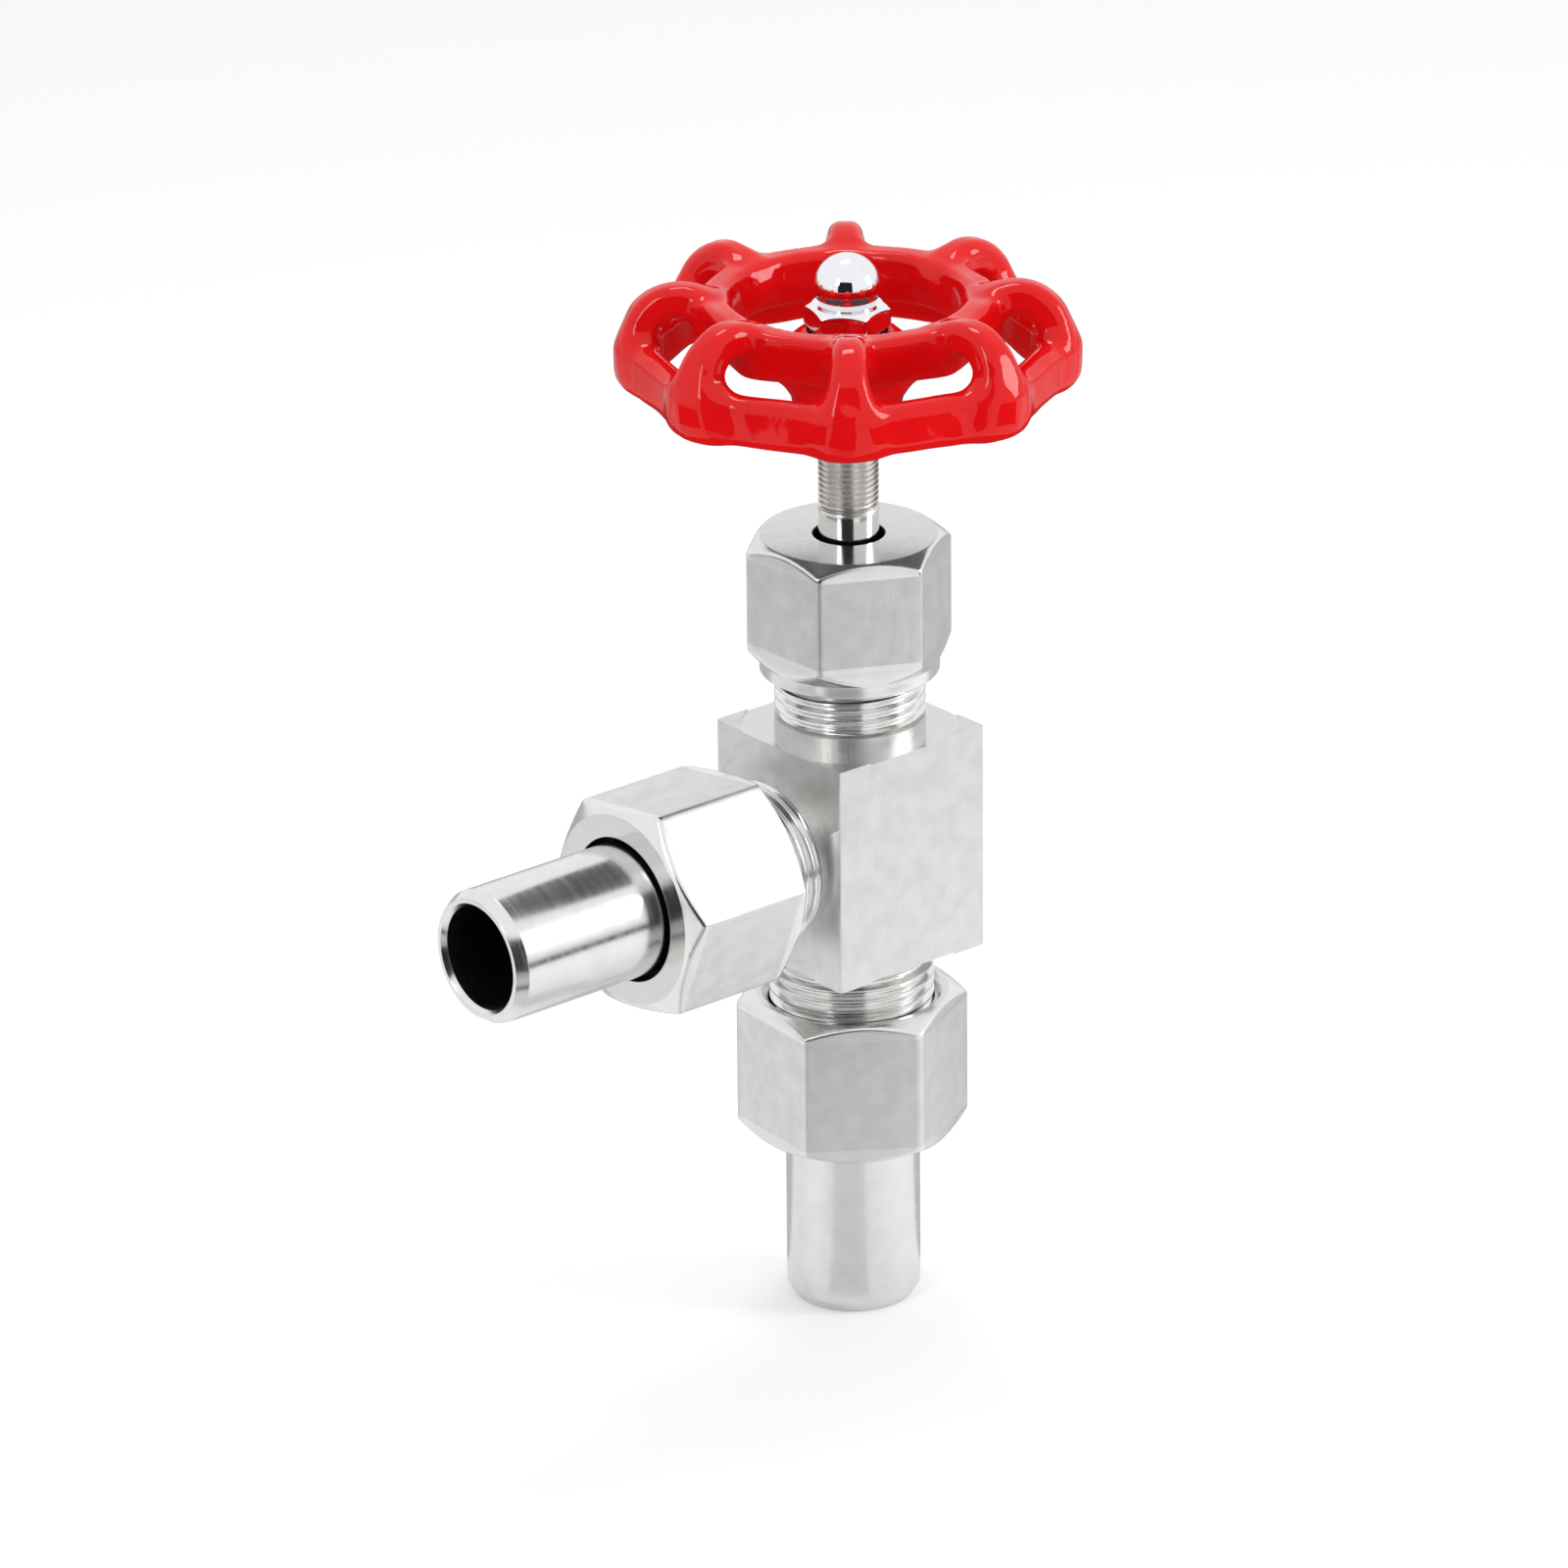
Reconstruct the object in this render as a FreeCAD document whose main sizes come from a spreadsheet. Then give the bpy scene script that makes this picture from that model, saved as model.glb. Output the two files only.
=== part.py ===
import FreeCAD, Part
import Sketcher
import os
import re

# Angle needle valve with two union tails for welding and a cast handwheel.
# Millimetres. The origin is the middle of the bottom tail's end face, +Z runs up the
# stem and the side branch points along -X.

SIZES = [
    # body block and its three threaded stubs
    ("block_width", 25.0, "square block, side to side"),
    ("block_height", 31.4, "square block, height"),
    ("block_edge", 0.3, "broken edge of the block"),
    ("facing_radius", 14.4, "lathe-faced circle round each stub"),
    ("facing_depth", 0.25, "depth of the faced circle below the raw corners"),
    ("union_thread", 22.0, "outer diameter of the two union threads"),
    ("top_thread", 20.0, "outer diameter of the gland thread"),
    ("thread_depth", 0.8, "relief neck below the thread crest"),
    ("neck_width", 2.8, "relief neck, along the stub"),
    ("top_stub", 17.7, "top stub above the block"),
    ("port_bore", 13.0, "flow bore of the body's ports and chamber"),
    ("port_drill", 3.0, "cone left by the drill at the foot of the seat"),
    ("seat_bore", 6.0, "orifice that the needle closes"),
    ("seat_land", 3.0, "straight length of the orifice"),
    ("seat_mouth", 7.8, "wide end of the seat cone"),
    ("seat_depth", 7.6, "seat mouth below the side bore's axis"),
    ("chamber_top", 7.4, "chamber roof above the side bore's axis"),
    ("spindle_thread", 10.0, "lifting thread of the stem"),
    ("box_bore", 13.0, "stuffing box"),
    ("box_depth", 14.0, "stuffing box, depth from the stub's end"),
    ("fit_gap", 0.05, "gap of a thread or a guide on each side"),
    ("over", 1.0, "cuts and joints run past a face by this much"),
    # tails, their union nuts and gaskets
    ("tail_exposed", 24.2, "tail outside its nut"),
    ("tail_outer", 18.0, "tube that the tail is welded to"),
    ("tail_bore", 14.0, "bore of that tube"),
    ("bevel_rise", 0.9, "weld bevel, across"),
    ("bevel_run", 1.5, "weld bevel, along"),
    ("tail_relief", 0.25, "tail turned down inside the nut"),
    ("relief_start", 0.3, "turned-down stretch begins outside the nut"),
    ("collar_outer", 21.2, "collar that the nut pulls on"),
    ("collar_thick", 4.0, "collar, along"),
    ("gasket_outer", 20.8, "flat gasket, outside"),
    ("gasket_bore", 14.6, "flat gasket, inside"),
    ("gasket_thick", 1.5, "flat gasket, along"),
    ("nut_flats", 27.0, "union nut across flats"),
    ("nut_height", 20.0, "union nut, along"),
    ("nut_wall", 5.0, "end wall of the union nut"),
    ("nut_hole", 19.5, "hole in the end wall"),
    ("nut_face", 25.8, "circle left by the nut's chamfer"),
    ("nut_slope", 30.0, "slope of the nut's chamfer"),
    ("mouth_outer", 24.4, "countersink at the nut's mouth"),
    ("nut_gap", 6.7, "nut to block"),
    ("bottom_nut_turn", 25.5, "corner of the bottom nut, in degrees"),
    ("side_nut_turn", 52.1, "corner of the side nut, in degrees"),
    # gland
    ("gland_gap", 7.2, "gland nut above the block"),
    ("gland_flats", 24.0, "gland nut across flats"),
    ("gland_bevel", 0.9, "bevel under the gland nut's collar"),
    ("gland_mouth", 20.92, "circle at the foot of that bevel"),
    ("gland_collar", 23.8, "round collar below the hexagon"),
    ("gland_collar_high", 1.6, "round collar, height"),
    ("gland_hex", 17.15, "hexagon, height"),
    ("gland_wall", 6.0, "top wall of the gland nut"),
    ("gland_hole", 9.4, "hole round the stem"),
    ("gland_face", 23.4, "circle left by the top chamfer"),
    ("gland_slope", 36.0, "slope of the top chamfer"),
    ("gland_turn", 32.4, "corner of the gland nut, in degrees"),
    ("washer_thick", 1.0, "washer at the foot of the packing"),
    ("ring_thick", 3.0, "one packing ring"),
    ("ring_edge", 0.5, "broken edges of a packing ring"),
    ("flange_thick", 2.2, "flange of the gland follower"),
    ("flange_outer", 17.0, "flange of the gland follower"),
    # stem
    ("stem_outer", 8.0, "stem"),
    ("lift_open", 2.0, "needle above its seat as shown"),
    ("seat_clear", 0.02, "needle short of the seat when shut"),
    ("thread_reach", 11.0, "lifting thread on the stem, length"),
    ("thread_below", 3.0, "lifting thread on the stem below its hole, as shown"),
    ("drive_low", 20.3, "shoulder under the wheel above the gland nut"),
    ("drive_half", 3.05, "half of the square under the wheel"),
    ("drive_corner", 0.55, "corner taken off the square"),
    ("tip_thread", 6.0, "thread of the acorn nut"),
    ("tip_reach", 6.2, "thread above the wheel's hub"),
    # needle
    ("needle_slope", 30.0, "half angle of the needle's cone"),
    ("needle_tip", 0.8, "radius of the needle's blunt point"),
    ("needle_length", 6.5, "needle above its cone"),
    ("socket_bore", 5.2, "socket for the stem's button"),
    ("socket_depth", 6.1, "socket, depth"),
    ("button_gap", 0.1, "button in its socket, each side"),
    ("shoulder_gap", 0.3, "needle below the stem's shoulder"),
    ("ball_radius", 1.5, "thrust ball"),
    ("wire_radius", 0.38, "retaining wire"),
    ("wire_drop", 1.6, "retaining wire below the needle's top"),
    # handwheel
    ("wheel_low", 20.8, "rim's lower face above the gland nut"),
    ("wheel_turn", 50.0, "first arm of the wheel, in degrees"),
    ("rim_corner", 30.4, "rim at an arm"),
    ("rim_draw", 0.58594, "rim's side drawn in half-way between two arms"),
    ("rim_wall", 3.9, "rim, in to out"),
    ("rim_high", 6.7, "rim, height"),
    ("rim_round", 1.7, "rounding of the rim"),
    ("rim_outer_round", 3.4, "rim's outer corner at an arm, in plan"),
    ("rim_inner_round", 2.04, "rim's inner corner at an arm, in plan"),
    ("rim_bend", 10.0, "bend of the rim half-way between two arms"),
    ("ring_low", 5.7, "inner ring's lower face above the rim's"),
    ("ring_high", 6.9, "inner ring, height"),
    ("ring_foot", 19.3, "inner ring's corner at its lower face"),
    ("ring_head", 20.8, "inner ring's corner at its upper face"),
    ("ring_bore", 31.2, "opening of the inner ring"),
    ("ring_corner_round", 2.4, "inner ring's corner, in plan"),
    ("ring_round", 1.2, "rounding of the inner ring"),
    ("arm_radial", 2.2, "half of an arm, up and down"),
    ("arm_wide", 2.6, "half of an arm, side to side"),
    ("arm_flat", 0.62, "flat share of an arm's four sides"),
    ("arm_foot", 3.0, "arm's lower end above the rim's lower face"),
    ("arm_inset", 3.4, "arm's outer leg inside the rim's corner"),
    ("arm_bend", 5.1, "bend of the arm"),
    ("arm_spring", 6.8, "bend begins above the rim's lower face"),
    ("arm_bite", 3.8, "arm's inner end inside the inner ring's corner"),
    ("arm_in_high", 9.4, "arm's inner end above the rim's lower face"),
    ("web_half", 2.4, "half of a web between hub and ring"),
    ("web_drop", 1.2, "web's outer lower corner below the inner ring"),
    ("web_rise", 1.0, "web's outer upper corner above the inner ring's foot"),
    ("web_bite", 0.5, "web into the inner ring"),
    ("hub_top", 7.6, "hub's top above the rim's lower face"),
    ("hub_low", 4.0, "hub's foot below the rim's lower face"),
    ("hub_foot", 6.8, "hub's radius at its foot"),
    ("hub_flare", 7.46, "hub's radius where its foot flares out"),
    ("hub_waist", 9.0, "hub's radius at the webs"),
    ("hub_head", 6.0, "hub's radius at its top"),
    ("recess_bore", 10.4, "recess for the spring washer"),
    ("recess_deep", 1.6, "recess for the spring washer, depth"),
    ("spring_bore", 6.4, "spring washer, inside"),
    ("spring_outer", 10.0, "spring washer, outside"),
    ("spring_thick", 1.6, "spring washer"),
    ("spring_slit", 0.8, "slit in the spring washer"),
    # acorn nut
    ("acorn_flats", 10.0, "acorn nut across flats"),
    ("acorn_hex", 3.7, "acorn nut's hexagon, height"),
    ("acorn_face", 9.2, "circle left by its chamfers"),
    ("acorn_neck", 7.0, "neck below the dome"),
    ("acorn_dome", 4.1, "radius of the dome"),
    ("acorn_middle", 6.75, "middle of the dome above the nut's foot"),
    ("acorn_depth", 7.2, "blind hole"),
    ("acorn_turn", 13.4, "corner of the acorn nut, in degrees"),
]

# Places that follow from the sizes: heights along the stem, or along the side branch from
# its tail's end, and at the end of the list the wheel's radii.
PLACES = {
    "block_half": "block_width / 2",
    "side_reach": "block_half + nut_gap + nut_height + tail_exposed",
    "block_low": "tail_exposed + nut_height + nut_gap",
    "block_high": "block_low + block_height",
    "side_axis": "block_low + block_height / 2",
    "collar_start": "tail_exposed + nut_wall",
    "gasket_start": "collar_start + collar_thick",
    "stub_end": "gasket_start + gasket_thick",
    "seat_high": "side_axis - seat_depth",
    "seat_low": "seat_high - (seat_mouth - seat_bore) / 2 / tan(needle_slope)",
    "orifice_low": "seat_low - seat_land",
    "chamber_high": "side_axis + chamber_top",
    "stub_high": "block_high + top_stub",
    "box_low": "stub_high - box_depth",
    "rings_low": "box_low + washer_thick",
    "rings_high": "rings_low + 3 * ring_thick",
    "gland_low": "block_high + gland_gap",
    "gland_hex_low": "gland_low + gland_bevel + gland_collar_high",
    "gland_high": "gland_hex_low + gland_hex",
    "follower_high": "gland_high - gland_wall",
    "cone_point": "seat_low - seat_bore / 2 / tan(needle_slope) + seat_clear + lift_open",
    "needle_low": "cone_point + needle_tip / tan(needle_slope)",
    "needle_wide": "cone_point + stem_outer / 2 / tan(needle_slope)",
    "needle_high": "needle_wide + needle_length",
    "socket_low": "needle_high - socket_depth",
    "button_low": "socket_low + 2 * ball_radius",
    "wire_place": "needle_high - wire_drop",
    "stem_low": "needle_high + shoulder_gap",
    "thread_low": "chamber_high - thread_below",
    "thread_high": "thread_low + thread_reach",
    "drive_start": "gland_high + drive_low",
    "wheel_base": "gland_high + wheel_low",
    "acorn_low": "wheel_base + hub_top",
    "rim_middle": "rim_corner * cos(22.5) - rim_draw",
    "arm_line": "rim_corner - arm_inset",
    "arm_in": "ring_head - arm_bite",
}

doc = FreeCAD.newDocument("angle_needle_valve")
sheet = doc.addObject("Spreadsheet::Sheet", "sizes")
for row, (alias, number, meaning) in enumerate(SIZES, 1):
    sheet.set("A%d" % row, meaning)
    sheet.set("B%d" % row, str(number))
    sheet.setAlias("B%d" % row, alias)
doc.recompute()
ALIASES = [alias for alias, number, meaning in SIZES]


def formula(text):
    """The text with each place spelled out and each size pointing at its cell."""
    def spell(match):
        word = match.group(0)
        if word in PLACES:
            return "(" + formula(PLACES[word]) + ")"
        if word in ALIASES:
            return "sizes." + word
        return word
    return re.sub(r"[a-z_]+", spell, text)


def value(text):
    """The number that a formula gives."""
    return float(sheet.evalExpression(formula(text)))


def new_body(label):
    """A separate piece, named as its file."""
    body = doc.addObject("PartDesign::Body", label)
    body.Label = label
    return body


def add_sketch(body, name, plane, shift=("0", "0", "0")):
    """A sketch on one of the body's own origin planes, moved by three formulas."""
    sketch = body.newObject("Sketcher::SketchObject", name)
    support = [feature for feature in body.Origin.OriginFeatures if feature.Role == plane][0]
    sketch.AttachmentSupport = (support, "")
    sketch.MapMode = "FlatFace"
    for axis, text in zip("xyz", shift):
        if text != "0":
            sketch.setExpression("AttachmentOffset.Base." + axis, formula(text))
    return sketch


def pin_point(sketch, geometry, end, across, up):
    """Tie one point of a sketch to its two formulas."""
    for kind, text, axis in (("DistanceX", across, -2), ("DistanceY", up, -1)):
        if text == "0":
            sketch.addConstraint(Sketcher.Constraint("PointOnObject", geometry, end, axis))
            continue
        number = value(text)
        tie = sketch.addConstraint(Sketcher.Constraint(kind, -1, 1, geometry, end, number))
        sketch.setExpression("Constraints[%d]" % tie, formula(text))


def add_outline(sketch, corners):
    """A closed outline of straight lines through corners given as formulas."""
    points = [FreeCAD.Vector(value(across), value(up), 0) for across, up in corners]
    first = sketch.GeometryCount
    count = len(corners)
    for step in range(count):
        line = Part.LineSegment(points[step], points[(step + 1) % count])
        sketch.addGeometry(line, False)
    for step in range(count):
        follower = first + (step + 1) % count
        sketch.addConstraint(Sketcher.Constraint("Coincident", first + step, 2, follower, 1))
    for step, (across, up) in enumerate(corners):
        pin_point(sketch, first + step, 1, across, up)


def finish_feature(body, feature, cuts):
    """Build the feature and see that it added or removed metal."""
    before = body.Shape.Volume if not body.Shape.isNull() else 0.0
    doc.recompute()
    change = body.Shape.Volume - before
    if cuts and change >= 0 or not cuts and change <= 0:
        raise RuntimeError("%s changed nothing in %s" % (feature.Name, body.Label))
    return feature


def turn(body, name, corners, cuts=False, side=False):
    """Revolve an outline of (radius, along) corners about the stem or the side branch."""
    if side:
        sketch = add_sketch(body, name + "_outline", "XZ_Plane", ("-(side_reach)", "side_axis", "0"))
        corners = [(along, radius) for radius, along in corners]
    else:
        sketch = add_sketch(body, name + "_outline", "XZ_Plane")
    add_outline(sketch, corners)
    feature = body.newObject("PartDesign::Groove" if cuts else "PartDesign::Revolution", name)
    feature.Profile = sketch
    feature.ReferenceAxis = (sketch, ["H_Axis" if side else "V_Axis"])
    feature.Angle = 360.0
    return finish_feature(body, feature, cuts)


def hexagon(flats, start):
    """The six corners of a hexagon across its flats, the first at an angle."""
    reach = "%s / sqrt(3)" % flats
    return [("%s * cos(%s + %d)" % (reach, start, angle), "%s * sin(%s + %d)" % (reach, start, angle))
            for angle in range(0, 360, 60)]


def pad(body, name, corners, height, start, side=False):
    """Pad an outline upward from a place, or along the side branch."""
    if side:
        sketch = add_sketch(body, name + "_outline", "YZ_Plane", ("0", "side_axis", start))
    else:
        sketch = add_sketch(body, name + "_outline", "XY_Plane", ("0", "0", start))
    add_outline(sketch, corners)
    feature = body.newObject("PartDesign::Pad", name)
    feature.Profile = sketch
    feature.setExpression("Length", formula(height))
    return finish_feature(body, feature, False)


def round_edges(body, kind, name, base, chosen, size):
    """Fillet or chamfer the edges of a feature that a test picks."""
    picked = ["Edge%d" % number for number, edge in enumerate(base.Shape.Edges, 1) if chosen(edge)]
    feature = body.newObject(kind, name)
    feature.Base = (base, picked)
    feature.setExpression("Radius" if kind.endswith("Fillet") else "Size", formula(size))
    doc.recompute()
    return feature


def upright(edge):
    """True for a straight edge along Z."""
    low = edge.BoundBox
    return low.XLength < 0.001 and low.YLength < 0.001


def standing_at(reach):
    """A test for an upright edge at a distance from the axis."""
    def test(edge):
        middle = edge.CenterOfMass
        return upright(edge) and abs((middle.x ** 2 + middle.y ** 2) ** 0.5 - reach) < 0.01
    return test


def level(edge):
    """True for an edge that lies in one horizontal plane."""
    return edge.BoundBox.ZLength < 0.001


def build_valve_body():
    """Square block with threaded stubs below, beside and above, bored through."""
    body = new_body("valve_body")
    half = "block_half"
    square = [("-block_half", "-block_half"), (half, "-block_half"), (half, half), ("-block_half", half)]
    block = pad(body, "block", square, "block_height", "block_low")
    round_edges(body, "PartDesign::Chamfer", "block_edges", block, upright, "block_edge")
    neck = "union_thread / 2 - thread_depth"
    crest = "union_thread / 2"
    stubs = (("bottom_stub", False, "block_low"), ("side_stub", True, "side_reach - block_half"))
    for name, side, face in stubs:
        reach = face + " + facing_depth + over"
        neck_end = face + " - neck_width"
        turn(body, name, [
            ("0", "stub_end"),
            (crest + " - thread_depth", "stub_end"),
            (crest, "stub_end + thread_depth"),
            (crest, neck_end + " - thread_depth"),
            (neck, neck_end),
            (neck, reach),
            ("0", reach)], side=side)
        turn(body, name + "_facing", [
            (neck, face + " + facing_depth"),
            ("facing_radius", face + " + facing_depth"),
            ("facing_radius", face + " - facing_depth"),
            (neck, face + " - facing_depth")], cuts=True, side=side)
    top_neck = "top_thread / 2 - thread_depth"
    top_crest = "top_thread / 2"
    turn(body, "top_stub_metal", [
        ("0", "block_high - facing_depth - over"),
        (top_neck, "block_high - facing_depth - over"),
        (top_neck, "block_high + neck_width"),
        (top_crest, "block_high + neck_width + thread_depth"),
        (top_crest, "stub_high - thread_depth"),
        (top_crest + " - thread_depth", "stub_high"),
        ("0", "stub_high")])
    turn(body, "top_facing", [
        (top_neck, "block_high - facing_depth"),
        ("facing_radius", "block_high - facing_depth"),
        ("facing_radius", "block_high + facing_depth"),
        (top_neck, "block_high + facing_depth")], cuts=True)
    turn(body, "side_bore", [
        ("0", "stub_end - over"),
        ("port_bore / 2", "stub_end - over"),
        ("port_bore / 2", "side_reach"),
        ("0", "side_reach")], cuts=True, side=True)
    turn(body, "stem_bore", [
        ("0", "stub_end - over"),
        ("port_bore / 2", "stub_end - over"),
        ("port_bore / 2", "orifice_low - port_drill"),
        ("seat_bore / 2", "orifice_low"),
        ("seat_bore / 2", "seat_low"),
        ("seat_mouth / 2", "seat_high"),
        ("port_bore / 2", "seat_high"),
        ("port_bore / 2", "chamber_high"),
        ("spindle_thread / 2", "chamber_high"),
        ("spindle_thread / 2", "box_low"),
        ("box_bore / 2", "box_low"),
        ("box_bore / 2", "stub_high + over"),
        ("0", "stub_high + over")], cuts=True)


def build_tail(label, side):
    """Weld tail: tube end, turned-down stretch inside the nut and a collar."""
    outer = "tail_outer / 2"
    body = new_body(label)
    turn(body, label + "_tube", [
        ("tail_bore / 2", "0"),
        (outer + " - bevel_rise", "0"),
        (outer, "bevel_run"),
        (outer, "tail_exposed - relief_start"),
        (outer + " - tail_relief", "tail_exposed - relief_start"),
        (outer + " - tail_relief", "collar_start"),
        ("collar_outer / 2", "collar_start"),
        ("collar_outer / 2", "gasket_start"),
        ("tail_bore / 2", "gasket_start")], side=side)


def build_gasket(label, side):
    """Flat ring between the tail's collar and the stub."""
    body = new_body(label)
    turn(body, label + "_ring", [
        ("gasket_bore / 2", "gasket_start"),
        ("gasket_outer / 2", "gasket_start"),
        ("gasket_outer / 2", "stub_end"),
        ("gasket_bore / 2", "stub_end")], side=side)


def build_union_nut(label, side):
    """Hexagon nut that holds a tail's collar and screws on the stub."""
    body = new_body(label)
    low = "tail_exposed"
    high = "tail_exposed + nut_height"
    start = "-(side_reach) + tail_exposed" if side else low
    pad(body, label + "_hexagon", hexagon("nut_flats", "side_nut_turn" if side else "bottom_nut_turn"),
        "nut_height", start, side=side)
    bare = "nut_flats"
    drop = "(nut_flats - nut_face / 2) * tan(nut_slope)"
    turn(body, label + "_low_chamfer", [
        ("nut_face / 2", low), (bare, low), (bare, low + " + " + drop)], cuts=True, side=side)
    turn(body, label + "_high_chamfer", [
        ("nut_face / 2", high), (bare, high), (bare, high + " - " + drop)], cuts=True, side=side)
    thread = "union_thread / 2 + fit_gap"
    turn(body, label + "_bore", [
        ("0", low + " - over"),
        ("nut_hole / 2", low + " - over"),
        ("nut_hole / 2", "collar_start"),
        (thread, "collar_start"),
        (thread, high + " - mouth_outer / 2 + " + thread),
        ("mouth_outer / 2", high),
        ("mouth_outer / 2", high + " + over"),
        ("0", high + " + over")], cuts=True, side=side)


def build_gland_nut():
    """Hexagon with a round collar below, pressing the follower down."""
    body = new_body("gland_nut")
    collar_low = "gland_low + gland_bevel"
    pad(body, "gland_hexagon", hexagon("gland_flats", "gland_turn"), "gland_hex", "gland_hex_low")
    turn(body, "gland_top_chamfer", [
        ("gland_face / 2", "gland_high"),
        ("gland_flats", "gland_high"),
        ("gland_flats", "gland_high - (gland_flats - gland_face / 2) * tan(gland_slope)")], cuts=True)
    turn(body, "gland_low_chamfer", [
        ("gland_collar / 2", "gland_hex_low"),
        ("gland_flats", "gland_hex_low"),
        ("gland_flats", "gland_hex_low + gland_flats - gland_collar / 2")], cuts=True)
    turn(body, "gland_round", [
        ("0", "gland_low"),
        ("gland_mouth / 2", "gland_low"),
        ("gland_collar / 2", collar_low),
        ("gland_collar / 2", "gland_hex_low + fit_gap"),
        ("0", "gland_hex_low + fit_gap")])
    turn(body, "gland_bore", [
        ("0", "gland_low - over"),
        ("top_thread / 2 + fit_gap", "gland_low - over"),
        ("top_thread / 2 + fit_gap", "follower_high"),
        ("gland_hole / 2", "follower_high"),
        ("gland_hole / 2", "gland_high + over"),
        ("0", "gland_high + over")], cuts=True)


def build_packing():
    """Washer, three packing rings and the follower, round the stem."""
    stem_hole = "stem_outer / 2 + fit_gap"
    box = "box_bore / 2 - fit_gap"
    washer = new_body("packing_washer")
    turn(washer, "packing_washer_ring", [
        (stem_hole, "box_low"), (box, "box_low"), (box, "rings_low"), (stem_hole, "rings_low")])
    for number, name in enumerate(("lower", "middle", "upper")):
        low = "rings_low + %d * ring_thick" % number
        ring = new_body("packing_ring_" + name)
        turn(ring, "packing_ring_%s_turned" % name, [
            (stem_hole + " + ring_edge", low),
            (box + " - ring_edge", low),
            (box, low + " + ring_edge"),
            (box, low + " + ring_thick - ring_edge"),
            (box + " - ring_edge", low + " + ring_thick"),
            (stem_hole + " + ring_edge", low + " + ring_thick"),
            (stem_hole, low + " + ring_thick - ring_edge"),
            (stem_hole, low + " + ring_edge")])
    follower = new_body("gland_follower")
    turn(follower, "gland_follower_turned", [
        (stem_hole, "rings_high"),
        (box, "rings_high"),
        (box, "follower_high - flange_thick"),
        ("flange_outer / 2", "follower_high - flange_thick"),
        ("flange_outer / 2", "follower_high"),
        (stem_hole, "follower_high")])


def build_stem():
    """Stem with a button below, a lifting thread, a square and a threaded tip."""
    body = new_body("stem")
    button = "socket_bore / 2 - button_gap"
    thread = "spindle_thread / 2 - fit_gap"
    edge = "tip_thread / 2 - ring_edge"
    turn(body, "stem_turned", [
        ("0", "button_low"),
        (button, "button_low"),
        (button, "wire_place - wire_radius - button_gap"),
        (button + " - wire_radius", "wire_place - wire_radius - button_gap"),
        (button + " - wire_radius", "wire_place + wire_radius + button_gap"),
        (button, "wire_place + wire_radius + button_gap"),
        (button, "stem_low"),
        ("stem_outer / 2", "stem_low"),
        ("stem_outer / 2", "thread_low - thread_depth"),
        (thread, "thread_low"),
        (thread, "thread_high"),
        ("stem_outer / 2", "thread_high + thread_depth"),
        ("stem_outer / 2", "drive_start"),
        ("tip_thread / 2", "drive_start"),
        ("tip_thread / 2", "acorn_low + tip_reach - ring_edge"),
        (edge, "acorn_low + tip_reach"),
        ("0", "acorn_low + tip_reach")])
    pad(body, "stem_square", turned(square_corners("drive_half", "drive_corner"), "wheel_turn"),
        "acorn_low - recess_deep - fit_gap - (drive_start)", "drive_start")


def square_corners(half, cut):
    """A square with its four corners cut off."""
    near = "%s - %s" % (half, cut)
    return [
        (half, "-(%s)" % near), (half, near), (near, half), ("-(%s)" % near, half),
        ("-" + half, near), ("-" + half, "-(%s)" % near), ("-(%s)" % near, "-" + half), (near, "-" + half)]


def turned(corners, angle):
    """The corners turned about the axis, so that they follow the wheel."""
    return [("(%s) * cos(%s) - (%s) * sin(%s)" % (across, angle, up, angle),
             "(%s) * sin(%s) + (%s) * cos(%s)" % (across, angle, up, angle))
            for across, up in corners]


def build_needle():
    """Cone that swivels under the stem, its thrust ball and its retaining wire."""
    body = new_body("needle")
    groove = "socket_bore / 2 + wire_radius"
    turn(body, "needle_turned", [
        ("0", "needle_low"),
        ("needle_tip", "needle_low"),
        ("stem_outer / 2", "needle_wide"),
        ("stem_outer / 2", "needle_high"),
        ("socket_bore / 2", "needle_high"),
        ("socket_bore / 2", "wire_place + wire_radius + button_gap"),
        (groove, "wire_place + wire_radius + button_gap"),
        (groove, "wire_place - wire_radius - button_gap"),
        ("socket_bore / 2", "wire_place - wire_radius - button_gap"),
        ("socket_bore / 2", "socket_low"),
        ("0", "socket_low")])
    ball = doc.addObject("Part::Sphere", "thrust_ball")
    ball.Label = "thrust_ball"
    ball.setExpression("Radius", formula("ball_radius"))
    ball.setExpression("Placement.Base.z", formula("socket_low + ball_radius"))
    wire = doc.addObject("Part::Torus", "retaining_wire")
    wire.Label = "retaining_wire"
    wire.setExpression("Radius1", formula("socket_bore / 2 - button_gap / 2"))
    wire.setExpression("Radius2", formula("wire_radius"))
    wire.setExpression("Placement.Base.z", formula("wire_place"))
    doc.recompute()


def octagon(reach, middle=None):
    """Eight corners, the first on X, with optional points half-way along the sides."""
    corners = []
    for angle in range(0, 360, 45):
        corners.append(("%s * cos(%d)" % (reach, angle), "%s * sin(%d)" % (reach, angle)))
        if middle:
            half = angle + 22.5
            corners.append(("%s * cos(%.1f)" % (middle, half), "%s * sin(%.1f)" % (middle, half)))
    return [tuple("0" if re.search(r"cos\((90|270)\)|sin\((0|180)\)", text) else text for text in corner)
            for corner in corners]


def repeat_round(body, name, feature, count):
    """Copies of a feature round the wheel's axis."""
    pattern = body.newObject("PartDesign::PolarPattern", name)
    pattern.Originals = [feature]
    axis = [part for part in body.Origin.OriginFeatures if part.Role == "Z_Axis"][0]
    pattern.Axis = (axis, [""])
    pattern.Angle = 360.0
    pattern.Occurrences = count
    body.Tip = pattern
    return finish_feature(body, pattern, False)


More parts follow.
